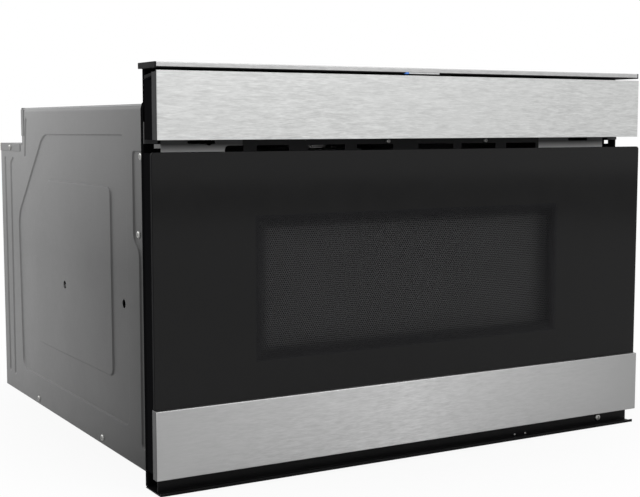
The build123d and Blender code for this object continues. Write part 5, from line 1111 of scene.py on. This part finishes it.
@dataclass
class SidePanels:
    """The two pressed steel sides of the body, rolled over at the top.

    A place on a side is its depth and its height. Each pressed outline has its corners, and how far back
    from them their rounding begins. All sizes are in millimetres.

    Attributes:
        half_width: From the middle of the oven to the outside of a side.
        sheet: The sheet's thickness.
        step: The depth at which the body steps down.
        roll: The radius of the rolled top edge.
        outer: The sunk field.
        inner: The field inside it that stands out again.
        grooves: The upright grooves at the rear.
        strip: The sunk strip behind the front flange.
        holes: The hole in the raised field, and the hole in the sunk one.
        swell: Inset and depth of each step of a field's wall.
        groove_shape: Inset and depth of each step of a groove's wall.
    """

    half_width: float = 278.2
    sheet: float = 1.0
    front: float = 38.5
    back: float = 586.0
    step: float = 489.0
    height: float = 370.0
    step_height: float = 324.0
    roll: float = 6.0
    roll_steps: int = 6
    outer: list[Pair] = field(
        default_factory=lambda: [(407.6, 338), (133.5, 340), (132, 35.6), (509.5, 34.7), (515, 234)]
    )
    outer_corner: float = 14.0
    inner: list[Pair] = field(
        default_factory=lambda: [(392.7, 284), (180, 285), (179.6, 80.3), (443, 79.4), (449, 232.7)]
    )
    inner_corner: float = 10.0
    grooves: list[list[Pair]] = field(
        default_factory=lambda: [
            [(572.0, 308.0), (564.0, 308.0), (563.0, 20.0), (571.0, 20.0)],
            [(534.0, 309.0), (526.5, 304.5), (538.0, 296.0), (540.5, 19.5), (548.5, 19.5), (546.5, 301.0)],
            [(477.0, 358.0), (469.0, 358.0), (476.5, 307.0), (484.5, 307.0)],
        ]
    )
    groove_corner: float = 3.8
    strip: list[Pair] = field(
        default_factory=lambda: [(116, 324), (41, 324), (41, 21), (101, 21), (101, 222), (116, 234)]
    )
    strip_corner: float = 6.0
    holes: list[Pair] = field(default_factory=lambda: [(334.0, 163.0), (148.7, 163.8)])
    hole_radius: float = 4.7
    swell: list[Pair] = field(
        default_factory=lambda: [(0.45, 0.1), (0.35, 0.4), (0.35, 0.8), (0.35, 0.4), (0.45, 0.1)]
    )
    groove_shape: list[Pair] = field(
        default_factory=lambda: [(0.45, 0.1), (0.45, 0.55), (0.6, 0.8), (0.6, 0.25)]
    )

    @property
    def pressed(self) -> float:
        """How deep a field is pressed."""
        return sum(depth for _, depth in self.swell)

    def places(self, points: list[Pair], out: float = 0.0) -> list[Vector]:
        """Corners on the right-hand side, from depth and height, standing out by this much."""
        return [at(self.half_width + out, depth, z) for depth, z in points]

    def sheet_form(self, name: str) -> Form:
        """The right-hand sheet with its pressings and holes.

        Args:
            name: What the piece is called.

        Returns:
            The open sheet, facing outwards.
        """
        form = Form(name)
        out = Vector((1, 0, 0))
        sunk_steps = [(inset, -depth) for inset, depth in self.swell]
        groove_steps = [(inset, -depth) for inset, depth in self.groove_shape]
        top = self.height - self.roll
        front_and_top = [(self.front, 0), (self.front, top), (self.step, top)]
        rear_step = [(self.step, self.step_height), (self.back, self.step_height), (self.back, 0)]
        border = form.ring(self.places(front_and_top + rear_step))
        outer = form.ring(self.places(self.outer), self.outer_corner, segments=8)
        grooves = [form.ring(self.places(line), self.groove_corner, segments=5) for line in self.grooves]
        strip = form.ring(self.places(self.strip), self.strip_corner)
        form.fill([border, outer, *grooves, strip], out)
        sunk = form.press(form.cap(outer, out), sunk_steps)
        inner = form.ring(self.places(self.inner, -self.pressed), self.inner_corner, segments=8)
        hole = form.circle(at(self.half_width - self.pressed, *self.holes[1]), out, self.hole_radius)
        form.fill([sunk, inner, hole], out)
        raised = form.press(form.cap(inner, out), self.swell)
        hole = form.circle(at(self.half_width, *self.holes[0]), out, self.hole_radius)
        form.fill([raised, hole], out)
        for groove in grooves:
            form.fill([form.press(form.cap(groove, out), groove_steps)], out)
        form.fill([form.press(form.cap(strip, out), sunk_steps)], out)
        self.roll_over(form)
        return form

    def roll_over(self, form: Form) -> None:
        """Rolls the top of the sheet inwards through a quarter turn.

        Args:
            form: The mesh with the upright sheet.
        """
        shoulder = (self.height - self.roll) * MM - LEVEL
        edges = [edge for edge in form.mesh.edges if all(vert.co.z > shoulder for vert in edge.verts)]
        turn = Matrix.Rotation(-math.pi / 2 / self.roll_steps, 3, "Y")
        centre = at(self.half_width - self.roll, 0.0, self.height - self.roll)
        for _ in range(self.roll_steps):
            made = bmesh.ops.extrude_edge_only(form.mesh, edges=edges)["geom"]
            fresh = [item for item in made if isinstance(item, BMVert)]
            bmesh.ops.rotate(form.mesh, cent=centre, matrix=turn, verts=fresh)
            edges = [item for item in made if isinstance(item, BMEdge) and set(item.verts) <= set(fresh)]

    def build(self) -> None:
        """Makes both sides. The left one is the mirrored sheet, with its faces turned back outwards."""
        for side, node in ((1, "side_panel_right"), (-1, "side_panel_left")):
            form = self.sheet_form(f"{node}_pressed")
            if side < 0:
                bmesh.ops.scale(form.mesh, vec=(-1, 1, 1), verts=list(form.mesh.verts))
                bmesh.ops.reverse_faces(form.mesh, faces=list(form.mesh.faces))
            finishes = [Extra.SIDE_SHEET.value]
            piece = form.finish("cabinet", finishes, "galvanised_steel", (node,), outward=False)
            thick = piece.modifiers.new("sheet", "SOLIDIFY")
            thick.thickness = self.sheet * MM
            thick.offset = -1.0
            piece.modifiers.move(1, 0)


@dataclass
class DoorGlass:
    """The black printed front glass with its see-through window.

    Attributes:
        corner: How far back the two upper corners are rounded, in millimetres.
        arris: How far back the edges are ground, in millimetres.
        window: Left, right, low and high edge of the window, in millimetres.
        flat_share: How far a face looks to the front or back to be see-through in the window.
        front_share: How far a face looks to the front to have the print.
    """

    half_width: float = 302.7
    low: float = 82.1
    high: float = 324.0
    front: float = 4.5
    back: float = 8.5
    corner: float = 3.0
    arris: float = 0.3
    window: Quad = (-196.0, 182.0, 119.0, 262.0)
    flat_share: float = 0.9
    front_share: float = 0.95

    def pane(self) -> Form:
        """The plain pane with its rounded corners and ground edges.

        Returns:
            The closed form.
        """
        form = Form("door_glass_pane")
        mesh = form.mesh
        half = self.half_width
        sides = [(-half, self.low), (half, self.low), (half, self.high), (-half, self.high)]
        face = mesh.faces.new([mesh.verts.new(at(x, self.front, z)) for x, z in sides])
        middle = (self.low + self.high) / 2 * MM
        upper = [vert for vert in face.verts if vert.co.z > middle]
        form.round_corners(upper, self.corner, segments=6)
        made = bmesh.ops.extrude_face_region(mesh, geom=list(mesh.faces))
        moved = [item for item in made["geom"] if isinstance(item, BMVert)]
        bmesh.ops.translate(mesh, vec=(0, (self.back - self.front) * MM, 0), verts=moved)
        bmesh.ops.recalc_face_normals(mesh, faces=list(mesh.faces))
        sharp = form.sharp(turn=60.0)
        rims = [edge for edge in sharp if abs(edge.verts[0].co.y - edge.verts[1].co.y) < LEVEL]
        form.round(rims, self.arris)
        return form

    def build(self) -> None:
        """Makes the pane, cuts it along the window's edges and gives each zone its finish."""
        form = self.pane()
        left, right, low, high = (edge * MM for edge in self.window)
        cuts = [(Vector((x, 0, 0)), Vector((1, 0, 0))) for x in (left, right)]
        cuts += [(Vector((0, 0, z)), Vector((0, 0, 1))) for z in (low, high)]
        for place, normal in cuts:
            whole = list(form.mesh.verts) + list(form.mesh.edges) + list(form.mesh.faces)
            bmesh.ops.bisect_plane(form.mesh, geom=whole, dist=LEVEL / 10, plane_co=place, plane_no=normal)
        for face in form.mesh.faces:
            middle = face.calc_center_median()
            in_window = left < middle.x < right and low < middle.z < high
            if in_window and abs(face.normal.y) > self.flat_share:
                face.material_index = 1
            elif face.normal.y > -self.front_share:
                face.material_index = 2
        finishes = [Stock.DOOR_PRINT.value, Extra.WINDOW_TINT.value, Extra.GLASS_EDGE.value]
        form.finish("drawer", finishes, "door_glass", ("door_glass",))


@dataclass
class CrossScrews:
    """The case screws: pan heads with a cross recess.

    A head's size is its radius and its height. Places are in millimetres.

    Attributes:
        crown: Radius and height of each ring of a head, as shares of its size.
        crown_steps: How many sides a head has round its axis.
        arm: Half the cross's length, as a share of the head's radius.
        slot: Half an arm's width, as a share of the head's radius.
        recess: The cross's depth, as a share of the head's height.
        taper: The cross's size at its floor, as a share of its size at its mouth.
        sides: Depth and height of the screws on each side.
        pressed_zone: Screws in front of this depth and above this height stand on the sunk strip.
        cover: Depth and height of the screw on the rear cover's flange.
        cover_sheet: That flange's thickness.
        web: X, depth and height of the screw on the lower rail.
        dots: X and height of the rivets on that rail.
        vents: X of the screws in the vent strip.
        black_vent: Where along X the vent strip's screw is black.
    """

    case_size: Pair = (3.8, 2.2)
    web_size: Pair = (3.8, 1.7)
    dot_size: Pair = (1.2, 0.6)
    vent_size: Pair = (2.7, 1.6)
    crown: list[Pair] = field(
        default_factory=lambda: [(1.0, 0.0), (1.0, 0.35), (0.92, 0.66), (0.77, 0.86), (0.6, 0.95)]
    )
    crown_steps: int = 20
    arm: float = 0.504
    slot: float = 0.17
    recess: float = 0.6
    taper: float = 0.6
    sides: list[Pair] = field(
        default_factory=lambda: [(103.5, 239.6), (95.0, 318.0), (442.0, 7.0), (213.9, 7.5)]
    )
    pressed_zone: Pair = (110.0, 30.0)
    cover: Pair = (541.0, 319.8)
    cover_sheet: float = 0.8
    web: Triple = (254.6, 11.0, 8.3)
    dots: list[Pair] = field(default_factory=lambda: [(131.7, 3.4), (146.7, 3.0)])
    vents: list[float] = field(default_factory=lambda: [-230.0, -23.5, 104.3])
    vent_place: Pair = (36.0, 332.0)
    black_vent: Pair = (-240.0, -220.0)

    def dome(self, form: Form, wide: float, tall: float) -> list[BMEdge]:
        """A turned head with its foot closed and its top open.

        Args:
            form: The mesh it goes into, at the origin and standing up.
            wide: Its radius in metres.
            tall: Its height in metres.

        Returns:
            The edges round the open top.
        """
        before = set(form.mesh.verts)
        line = [form.mesh.verts.new((share * wide, 0, rise * tall)) for share, rise in self.crown]
        edges = [form.mesh.edges.new(pair) for pair in zip(line, line[1:])]
        bmesh.ops.spin(
            form.mesh,
            geom=line + edges,
            cent=(0, 0, 0),
            axis=(0, 0, 1),
            angle=math.tau,
            steps=self.crown_steps,
            use_merge=True,
        )
        mine = (vert for vert in form.mesh.verts if vert not in before)
        ends = list(dict.fromkeys(edge for vert in mine for edge in vert.link_edges if edge.is_boundary))
        foot = [edge for edge in ends if max(vert.co.z for vert in edge.verts) < LEVEL]
        form.cap(foot, Vector((0, 0, -1)))
        return [edge for edge in ends if edge not in foot]

    def head(self, form: Form, place: Vector, way: Vector, size: Pair) -> None:
        """One domed head with its cross recess, standing on a face.

        Args:
            form: The mesh it goes into.
            place: The middle of its foot.
            way: Its outward direction.
            size: Its radius and height, in millimetres.
        """
        before = set(form.mesh.verts)
        wide, tall = (part * MM for part in size)
        up = Vector((0, 0, 1))
        rim = self.dome(form, wide, tall)
        arm, half, top = self.arm * wide, self.slot * wide, self.crown[-1][1] * tall
        plus = []
        for turn in range(4):
            for x, y in ((half, arm), (half, half), (arm, half)):
                corner = Matrix.Rotation(-turn * math.pi / 2, 3, "Z") @ Vector((x, y, 0))
                plus.append(Vector((corner.x, corner.y, top)))
        mouth = form.ring(plus)
        form.fill([rim, mouth], up)
        floor = form.cap(mouth, up)
        walls = bmesh.ops.extrude_face_region(form.mesh, geom=[floor])["geom"]
        form.mesh.faces.remove(floor)
        sunk = [item for item in walls if isinstance(item, BMVert)]
        bmesh.ops.translate(form.mesh, vec=(0, 0, -self.recess * tall), verts=sunk)
        bmesh.ops.scale(form.mesh, vec=(self.taper, self.taper, 1.0), verts=sunk)
        mine = [vert for vert in form.mesh.verts if vert not in before]
        turned = up.rotation_difference(way).to_matrix().to_4x4()
        bmesh.ops.transform(form.mesh, matrix=Matrix.Translation(place) @ turned, verts=mine)

    def build(self) -> None:
        """Makes the case screws."""
        form = Form("case_screws_cross_head")
        panels = SidePanels()
        front = Vector((0, -1, 0))
        strip_back, strip_low = self.pressed_zone
        for side in (-1, 1):
            way = Vector((side, 0, 0))
            for depth, z in self.sides:
                on_strip = depth < strip_back and z > strip_low
                out = panels.half_width - (panels.pressed if on_strip else 0.0)
                self.head(form, at(side * out, depth, z), way, self.case_size)
            out = panels.half_width + self.cover_sheet
            self.head(form, at(side * out, *self.cover), way, self.case_size)
        self.head(form, at(*self.web), front, self.web_size)
        for x, z in self.dots:
            self.head(form, at(x, self.web[1], z), front, self.dot_size)
        for x in self.vents:
            self.head(form, at(x, *self.vent_place), front, self.vent_size)
        left, right = (edge * MM for edge in self.black_vent)
        for face in form.mesh.faces:
            face.material_index = int(left < face.calc_center_median().x < right)
        finishes = [Extra.CASE_SCREW.value, Stock.BLACK_STEEL.value]
        form.finish("cabinet", finishes, "zinc_steel", ("case_screws",))


@dataclass
class SlideBalls:
    """The steel balls that carry the slides, seated in the windows of their cages.

    Attributes:
        diameter: A ball's diameter, in millimetres.
        per_row: Balls in each row of a cage.
        seat: How far past its cage's edge a ball's middle lies, as a share of its radius.
    """

    diameter: float = 3.1
    per_row: int = 5
    seat: float = 0.2

    def build(self, frame: Frame) -> None:
        """Makes the balls of both pairs of cages.
        """
        radius = self.diameter / 2 * MM
        for node in ("ball_cages_outer", "ball_cages_inner"):
            low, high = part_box(node)
            form = Form(f"{node}_balls")
            pitch = (high[1] - low[1]) / self.per_row
            rows = [low[1] + pitch * (step + 0.5) for step in range(self.per_row)]
            for side in (-1, 1):
                x = side * (abs(low[0]) - radius)
                for z in (low[2] - radius * self.seat, high[2] + radius * self.seat):
                    for y in rows:
                        place = Matrix.Translation((x, y, z))
                        bmesh.ops.create_icosphere(form.mesh, subdivisions=2, radius=radius, matrix=place)
            body = frame["nodes"][node]["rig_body"]
            form.finish(body, [Stock.ZINC_STEEL.value], "zinc_steel", smooth=80.0)


@dataclass
class ControlLegends:
    """The print on the control glass: numbered keys, plain signs and the clock's display.

    All sizes are in millimetres, and X is measured from the glass's middle.

    Attributes:
        display_at: X of the clock's middle.
        display_half: Half the display's width and height.
        key_half: Half a numbered key's width and height.
        sign_half: The same for a key with a sign.
        signs: X of each sign.
        lift: How far the print lies above the glass.
        capital: The height of a capital, as a share of the letters' size.
        upright: How far a face looks upwards to be the glass's upper one.
    """

    display_at: float = -95.0
    display_half: Pair = (36.0, 9.5)
    clock_height: float = 11.0
    first_key: float = -20.0
    key_pitch: float = 21.0
    key_half: Pair = (9.0, 6.0)
    digit_height: float = 7.5
    sign_half: Pair = (12.0, 6.0)
    sign_height: float = 5.0
    signs: dict[str, float] = field(
        default_factory=lambda: {
            "OFF": -250.0,
            "ON": -222.0,
            "-": -180.0,
            "+": -152.0,
            "<": 215.0,
            ">": 243.0,
        }
    )
    line: float = 0.35
    corner: float = 2.0
    lift: float = 0.06
    capital: float = 0.7
    upright: float = 0.9

    def plane(self, frame: Frame) -> Matrix:
        """The frame of the glass's upper face, read from its solid.


        Returns:
            A matrix with X to the right, Y up the glass and Z out of it.
        """
        work = bmesh.new()
        work.from_mesh(frame["nodes"]["panel_glass"].data)
        bmesh.ops.remove_doubles(work, verts=list(work.verts), dist=SAME_PLACE)
        faces = [face for face in work.faces if face.normal.z > self.upright]
        out = faces[0].normal.copy()
        places = [vert.co.copy() for face in faces for vert in face.verts]
        work.free()
        low = Vector(min(place[axis] for place in places) for axis in range(3))
        high = Vector(max(place[axis] for place in places) for axis in range(3))
        right = Vector((1, 0, 0))
        turn = Matrix((right, out.cross(right), out)).transposed().to_4x4()
        return Matrix.Translation((low + high) / 2) @ turn

    def patch(self, form: Form, x: float, half: Pair) -> BMFace:
        """A flat patch with rounded corners on the glass.

        Args:
            form: The mesh it goes into.
            x: Its middle along the glass.
            half: Half its width and height.

        Returns:
            Its one face.
        """
        corners = [(-half[0], -half[1]), (half[0], -half[1]), (half[0], half[1]), (-half[0], half[1])]
        rim = form.ring([Vector((x + u, v, self.lift)) * MM for u, v in corners], self.corner, segments=4)
        return form.cap(rim, Vector((0, 0, 1)))

    def key(self, form: Form, words: str, x: float, half: Pair, height: float) -> None:
        """A key's thin frame with its figure or sign.

        Args:
            form: The mesh it goes into.
            words: What it says.
            x: Its middle along the glass.
            half: Half its width and height.
            height: The height of its letters.
        """
        face = self.patch(form, x, half)
        bmesh.ops.inset_region(
            form.mesh, faces=[face], thickness=self.line * MM, use_even_offset=True, use_boundary=True
        )
        form.mesh.faces.remove(face)
        self.text(form, words, x, height)

    def text(self, form: Form, words: str, x: float, height: float) -> None:
        """Figures or letters laid flat on the glass.

        Args:
            form: The mesh they go into.
            words: What they say.
            x: Their middle along the glass.
            height: Their height.
        """
        curve = bpy.data.curves.new("legend", "FONT")
        curve.body = words
        curve.size = height * MM / self.capital
        curve.align_x = "CENTER"
        curve.align_y = "CENTER"
        holder = bpy.data.objects.new("legend", curve)
        flat = bpy.data.meshes.new_from_object(holder)
        before = set(form.mesh.verts)
        form.mesh.from_mesh(flat)
        mine = [vert for vert in form.mesh.verts if vert not in before]
        bmesh.ops.translate(form.mesh, vec=Vector((x, 0, self.lift * 2)) * MM, verts=mine)
        bpy.data.objects.remove(holder)
        bpy.data.curves.remove(curve)
        bpy.data.meshes.remove(flat)

    def build(self, frame: Frame) -> None:
        """Makes the print.
        """
        form = Form("control_legends")
        self.patch(form, self.display_at, self.display_half).material_index = 1
        self.text(form, "12:00", self.display_at, self.clock_height)
        for index, figure in enumerate("1234567890"):
            x = self.first_key + index * self.key_pitch
            self.key(form, figure, x, self.key_half, self.digit_height)
        for sign, x in self.signs.items():
            self.key(form, sign, x, self.sign_half, self.sign_height)
        bmesh.ops.transform(form.mesh, matrix=self.plane(frame), verts=list(form.mesh.verts))
        finishes = [Extra.LEGEND.value, Extra.DISPLAY.value]
        form.finish("control_panel", finishes, "control_glass", outward=False)


class CarriedOver:
    """The solids that keep their own shape and get a better finish."""

    def build(self, frame: Frame) -> None:
        """Dresses every solid by its slot.
        """
        stock = {kind.value.name: kind.value for kind in Stock}
        for part in frame["record"]["subparts"]:
            data = frame["nodes"][part["node"]].data
            for index in range(len(data.materials)):
                data.materials[index] = WARDROBE.get(stock[part["material_slot"]])
            LOG.info("%s: dressed in %s", part["node"], part["material_slot"])


# ---------------------------------------------------------------- studio
@dataclass(frozen=True)
class Lamp:
    """A square soft lamp, in metres and watts."""

    name: str
    place: Triple
    size: float
    power: float


@dataclass
class Studio:
    """A pale floor, a white surround, soft lamps and the photograph's camera.

    Attributes:
        camera_place: In metres.
        camera_turn: About X, Y and Z, in degrees.
        lens: Focal length, in millimetres.
        surround: How strongly the surround lights the oven.
        aim: Where the lamps point, in metres.
        floor_size: From the floor's middle to its edge, in metres.
        floor_drop: How far the floor lies below the oven's feet, in metres.
        floor_reach: Between these distances from the middle the floor turns white, in metres.
        floor_white: How white the camera sees the floor near the oven and far from it.
    """

    camera_place: Triple = (-0.73963, -1.35506, 0.35083)
    camera_turn: Triple = (84.235, 0.0, -30.003)
    lens: float = 69.83
    sensor: float = 36.0
    near: float = 0.01
    surround: float = 0.5
    aim: Triple = (0.0, 0.0, 0.2)
    floor_size: float = 6.0
    floor_drop: float = 0.0002
    floor_tone: float = 0.9
    floor_roughness: float = 0.9
    floor_specular: float = 0.1
    floor_reach: Pair = (0.3, 0.6)
    floor_white: Pair = (0.88, 1.0)
    lamps: list[Lamp] = field(
        default_factory=lambda: [
            Lamp("key_lamp", (1.2, -3.0, 1.9), 1.8, 24.0),
            Lamp("side_lamp", (-1.3, 0.15, 1.1), 0.6, 3.6),
            Lamp("rear_lamp", (-2.2, 1.7, 1.5), 1.0, 22.0),
            Lamp("top_lamp", (0.3, -0.2, 2.6), 1.6, 16.0),
        ]
    )

    def surround_light(self) -> None:
        """A world that is white to look at and gives a softer light."""
        world = bpy.data.worlds.new("surround")
        world.use_nodes = True
        nodes, links = world.node_tree.nodes, world.node_tree.links
        nodes.clear()
        path = nodes.new("ShaderNodeLightPath")
        seen = path.outputs["Is Camera Ray"]
        for kind in ("Is Glossy Ray", "Is Transmission Ray"):
            either = nodes.new("ShaderNodeMath")
            either.operation = "MAXIMUM"
            links.new(seen, either.inputs[0])
            links.new(path.outputs[kind], either.inputs[1])
            seen = either.outputs[0]
        level = nodes.new("ShaderNodeMapRange")
        level.inputs["To Min"].default_value = self.surround
        level.inputs["To Max"].default_value = 1.0
        links.new(seen, level.inputs["Value"])
        light = nodes.new("ShaderNodeBackground")
        light.inputs["Color"].default_value = (*WHITE, 1.0)
        links.new(level.outputs["Result"], light.inputs["Strength"])
        output = nodes.new("ShaderNodeOutputWorld")
        links.new(light.outputs[0], output.inputs["Surface"])
        bpy.context.scene.world = world

    def floor_material(self) -> bpy.types.Material:
        """A pale floor that the camera sees as white further out.

        Returns:
            The material.
        """
        recipe = Recipe("studio_floor")
        recipe.put(Base_Color=(*shade(WHITE, self.floor_tone), 1.0))
        recipe.put(Roughness=self.floor_roughness, Specular_IOR_Level=self.floor_specular)
        reach = recipe.nodes.new("ShaderNodeVectorMath")
        reach.operation = "LENGTH"
        recipe.feed(reach.inputs[0], recipe.place)
        away = recipe.band(reach.outputs["Value"], self.floor_reach, self.floor_white)
        seen = recipe.nodes.new("ShaderNodeLightPath").outputs["Is Camera Ray"]
        white = recipe.nodes.new("ShaderNodeEmission")
        white.inputs["Color"].default_value = (*WHITE, 1.0)
        both = recipe.nodes.new("ShaderNodeMixShader")
        parts = (recipe.reckon("MULTIPLY", away, seen), recipe.surface.outputs["BSDF"], white.outputs[0])
        for socket, part in zip(both.inputs, parts):
            recipe.feed(socket, part)
        recipe.feed(recipe.output, both.outputs[0])
        return recipe.material

    def floor(self) -> None:
        """A floor that keeps the shadow close to the oven and is white further out."""
        form = bmesh.new()
        bmesh.ops.create_grid(form, x_segments=2, y_segments=2, size=self.floor_size)
        bmesh.ops.translate(form, vec=(0, 0, -self.floor_drop), verts=list(form.verts))
        data = bpy.data.meshes.new("studio_floor")
        form.to_mesh(data)
        form.free()
        data.materials.append(self.floor_material())
        floor = bpy.data.objects.new("studio_floor", data)
        bpy.context.scene.collection.objects.link(floor)

    def light(self) -> None:
        """Soft lamps aimed at the middle of the oven."""
        for lamp in self.lamps:
            data = bpy.data.lights.new(lamp.name, "AREA")
            data.shape = "SQUARE"
            data.size = lamp.size
            data.energy = lamp.power
            stand = bpy.data.objects.new(lamp.name, data)
            stand.location = lamp.place
            way = Vector(self.aim) - Vector(lamp.place)
            stand.rotation_euler = way.to_track_quat("-Z", "Y").to_euler()
            bpy.context.scene.collection.objects.link(stand)

    def camera(self) -> None:
        """The photograph's viewpoint."""
        data = bpy.data.cameras.new("camera")
        data.lens = self.lens
        data.sensor_width = self.sensor
        data.clip_start = self.near
        camera = bpy.data.objects.new("camera", data)
        camera.location = self.camera_place
        camera.rotation_euler = tuple(math.radians(angle) for angle in self.camera_turn)
        bpy.context.scene.collection.objects.link(camera)
        bpy.context.scene.camera = camera

    def build(self) -> None:
        """Sets up the whole studio."""
        bpy.context.scene.view_settings.view_transform = "Standard"
        self.surround_light()
        self.floor()
        self.light()
        self.camera()


def main() -> None:
    """Builds the oven's looks piece by piece, then the studio round it."""
    logging.basicConfig(level=logging.INFO, format="%(name)s: %(message)s")
    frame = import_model()
    CarriedOver().build(frame)
    SoftEdges().build(frame)
    SidePanels().build()
    DoorGlass().build()
    CrossScrews().build()
    SlideBalls().build(frame)
    ControlLegends().build(frame)
    Studio().build()


if __name__ == "__main__":
    main()
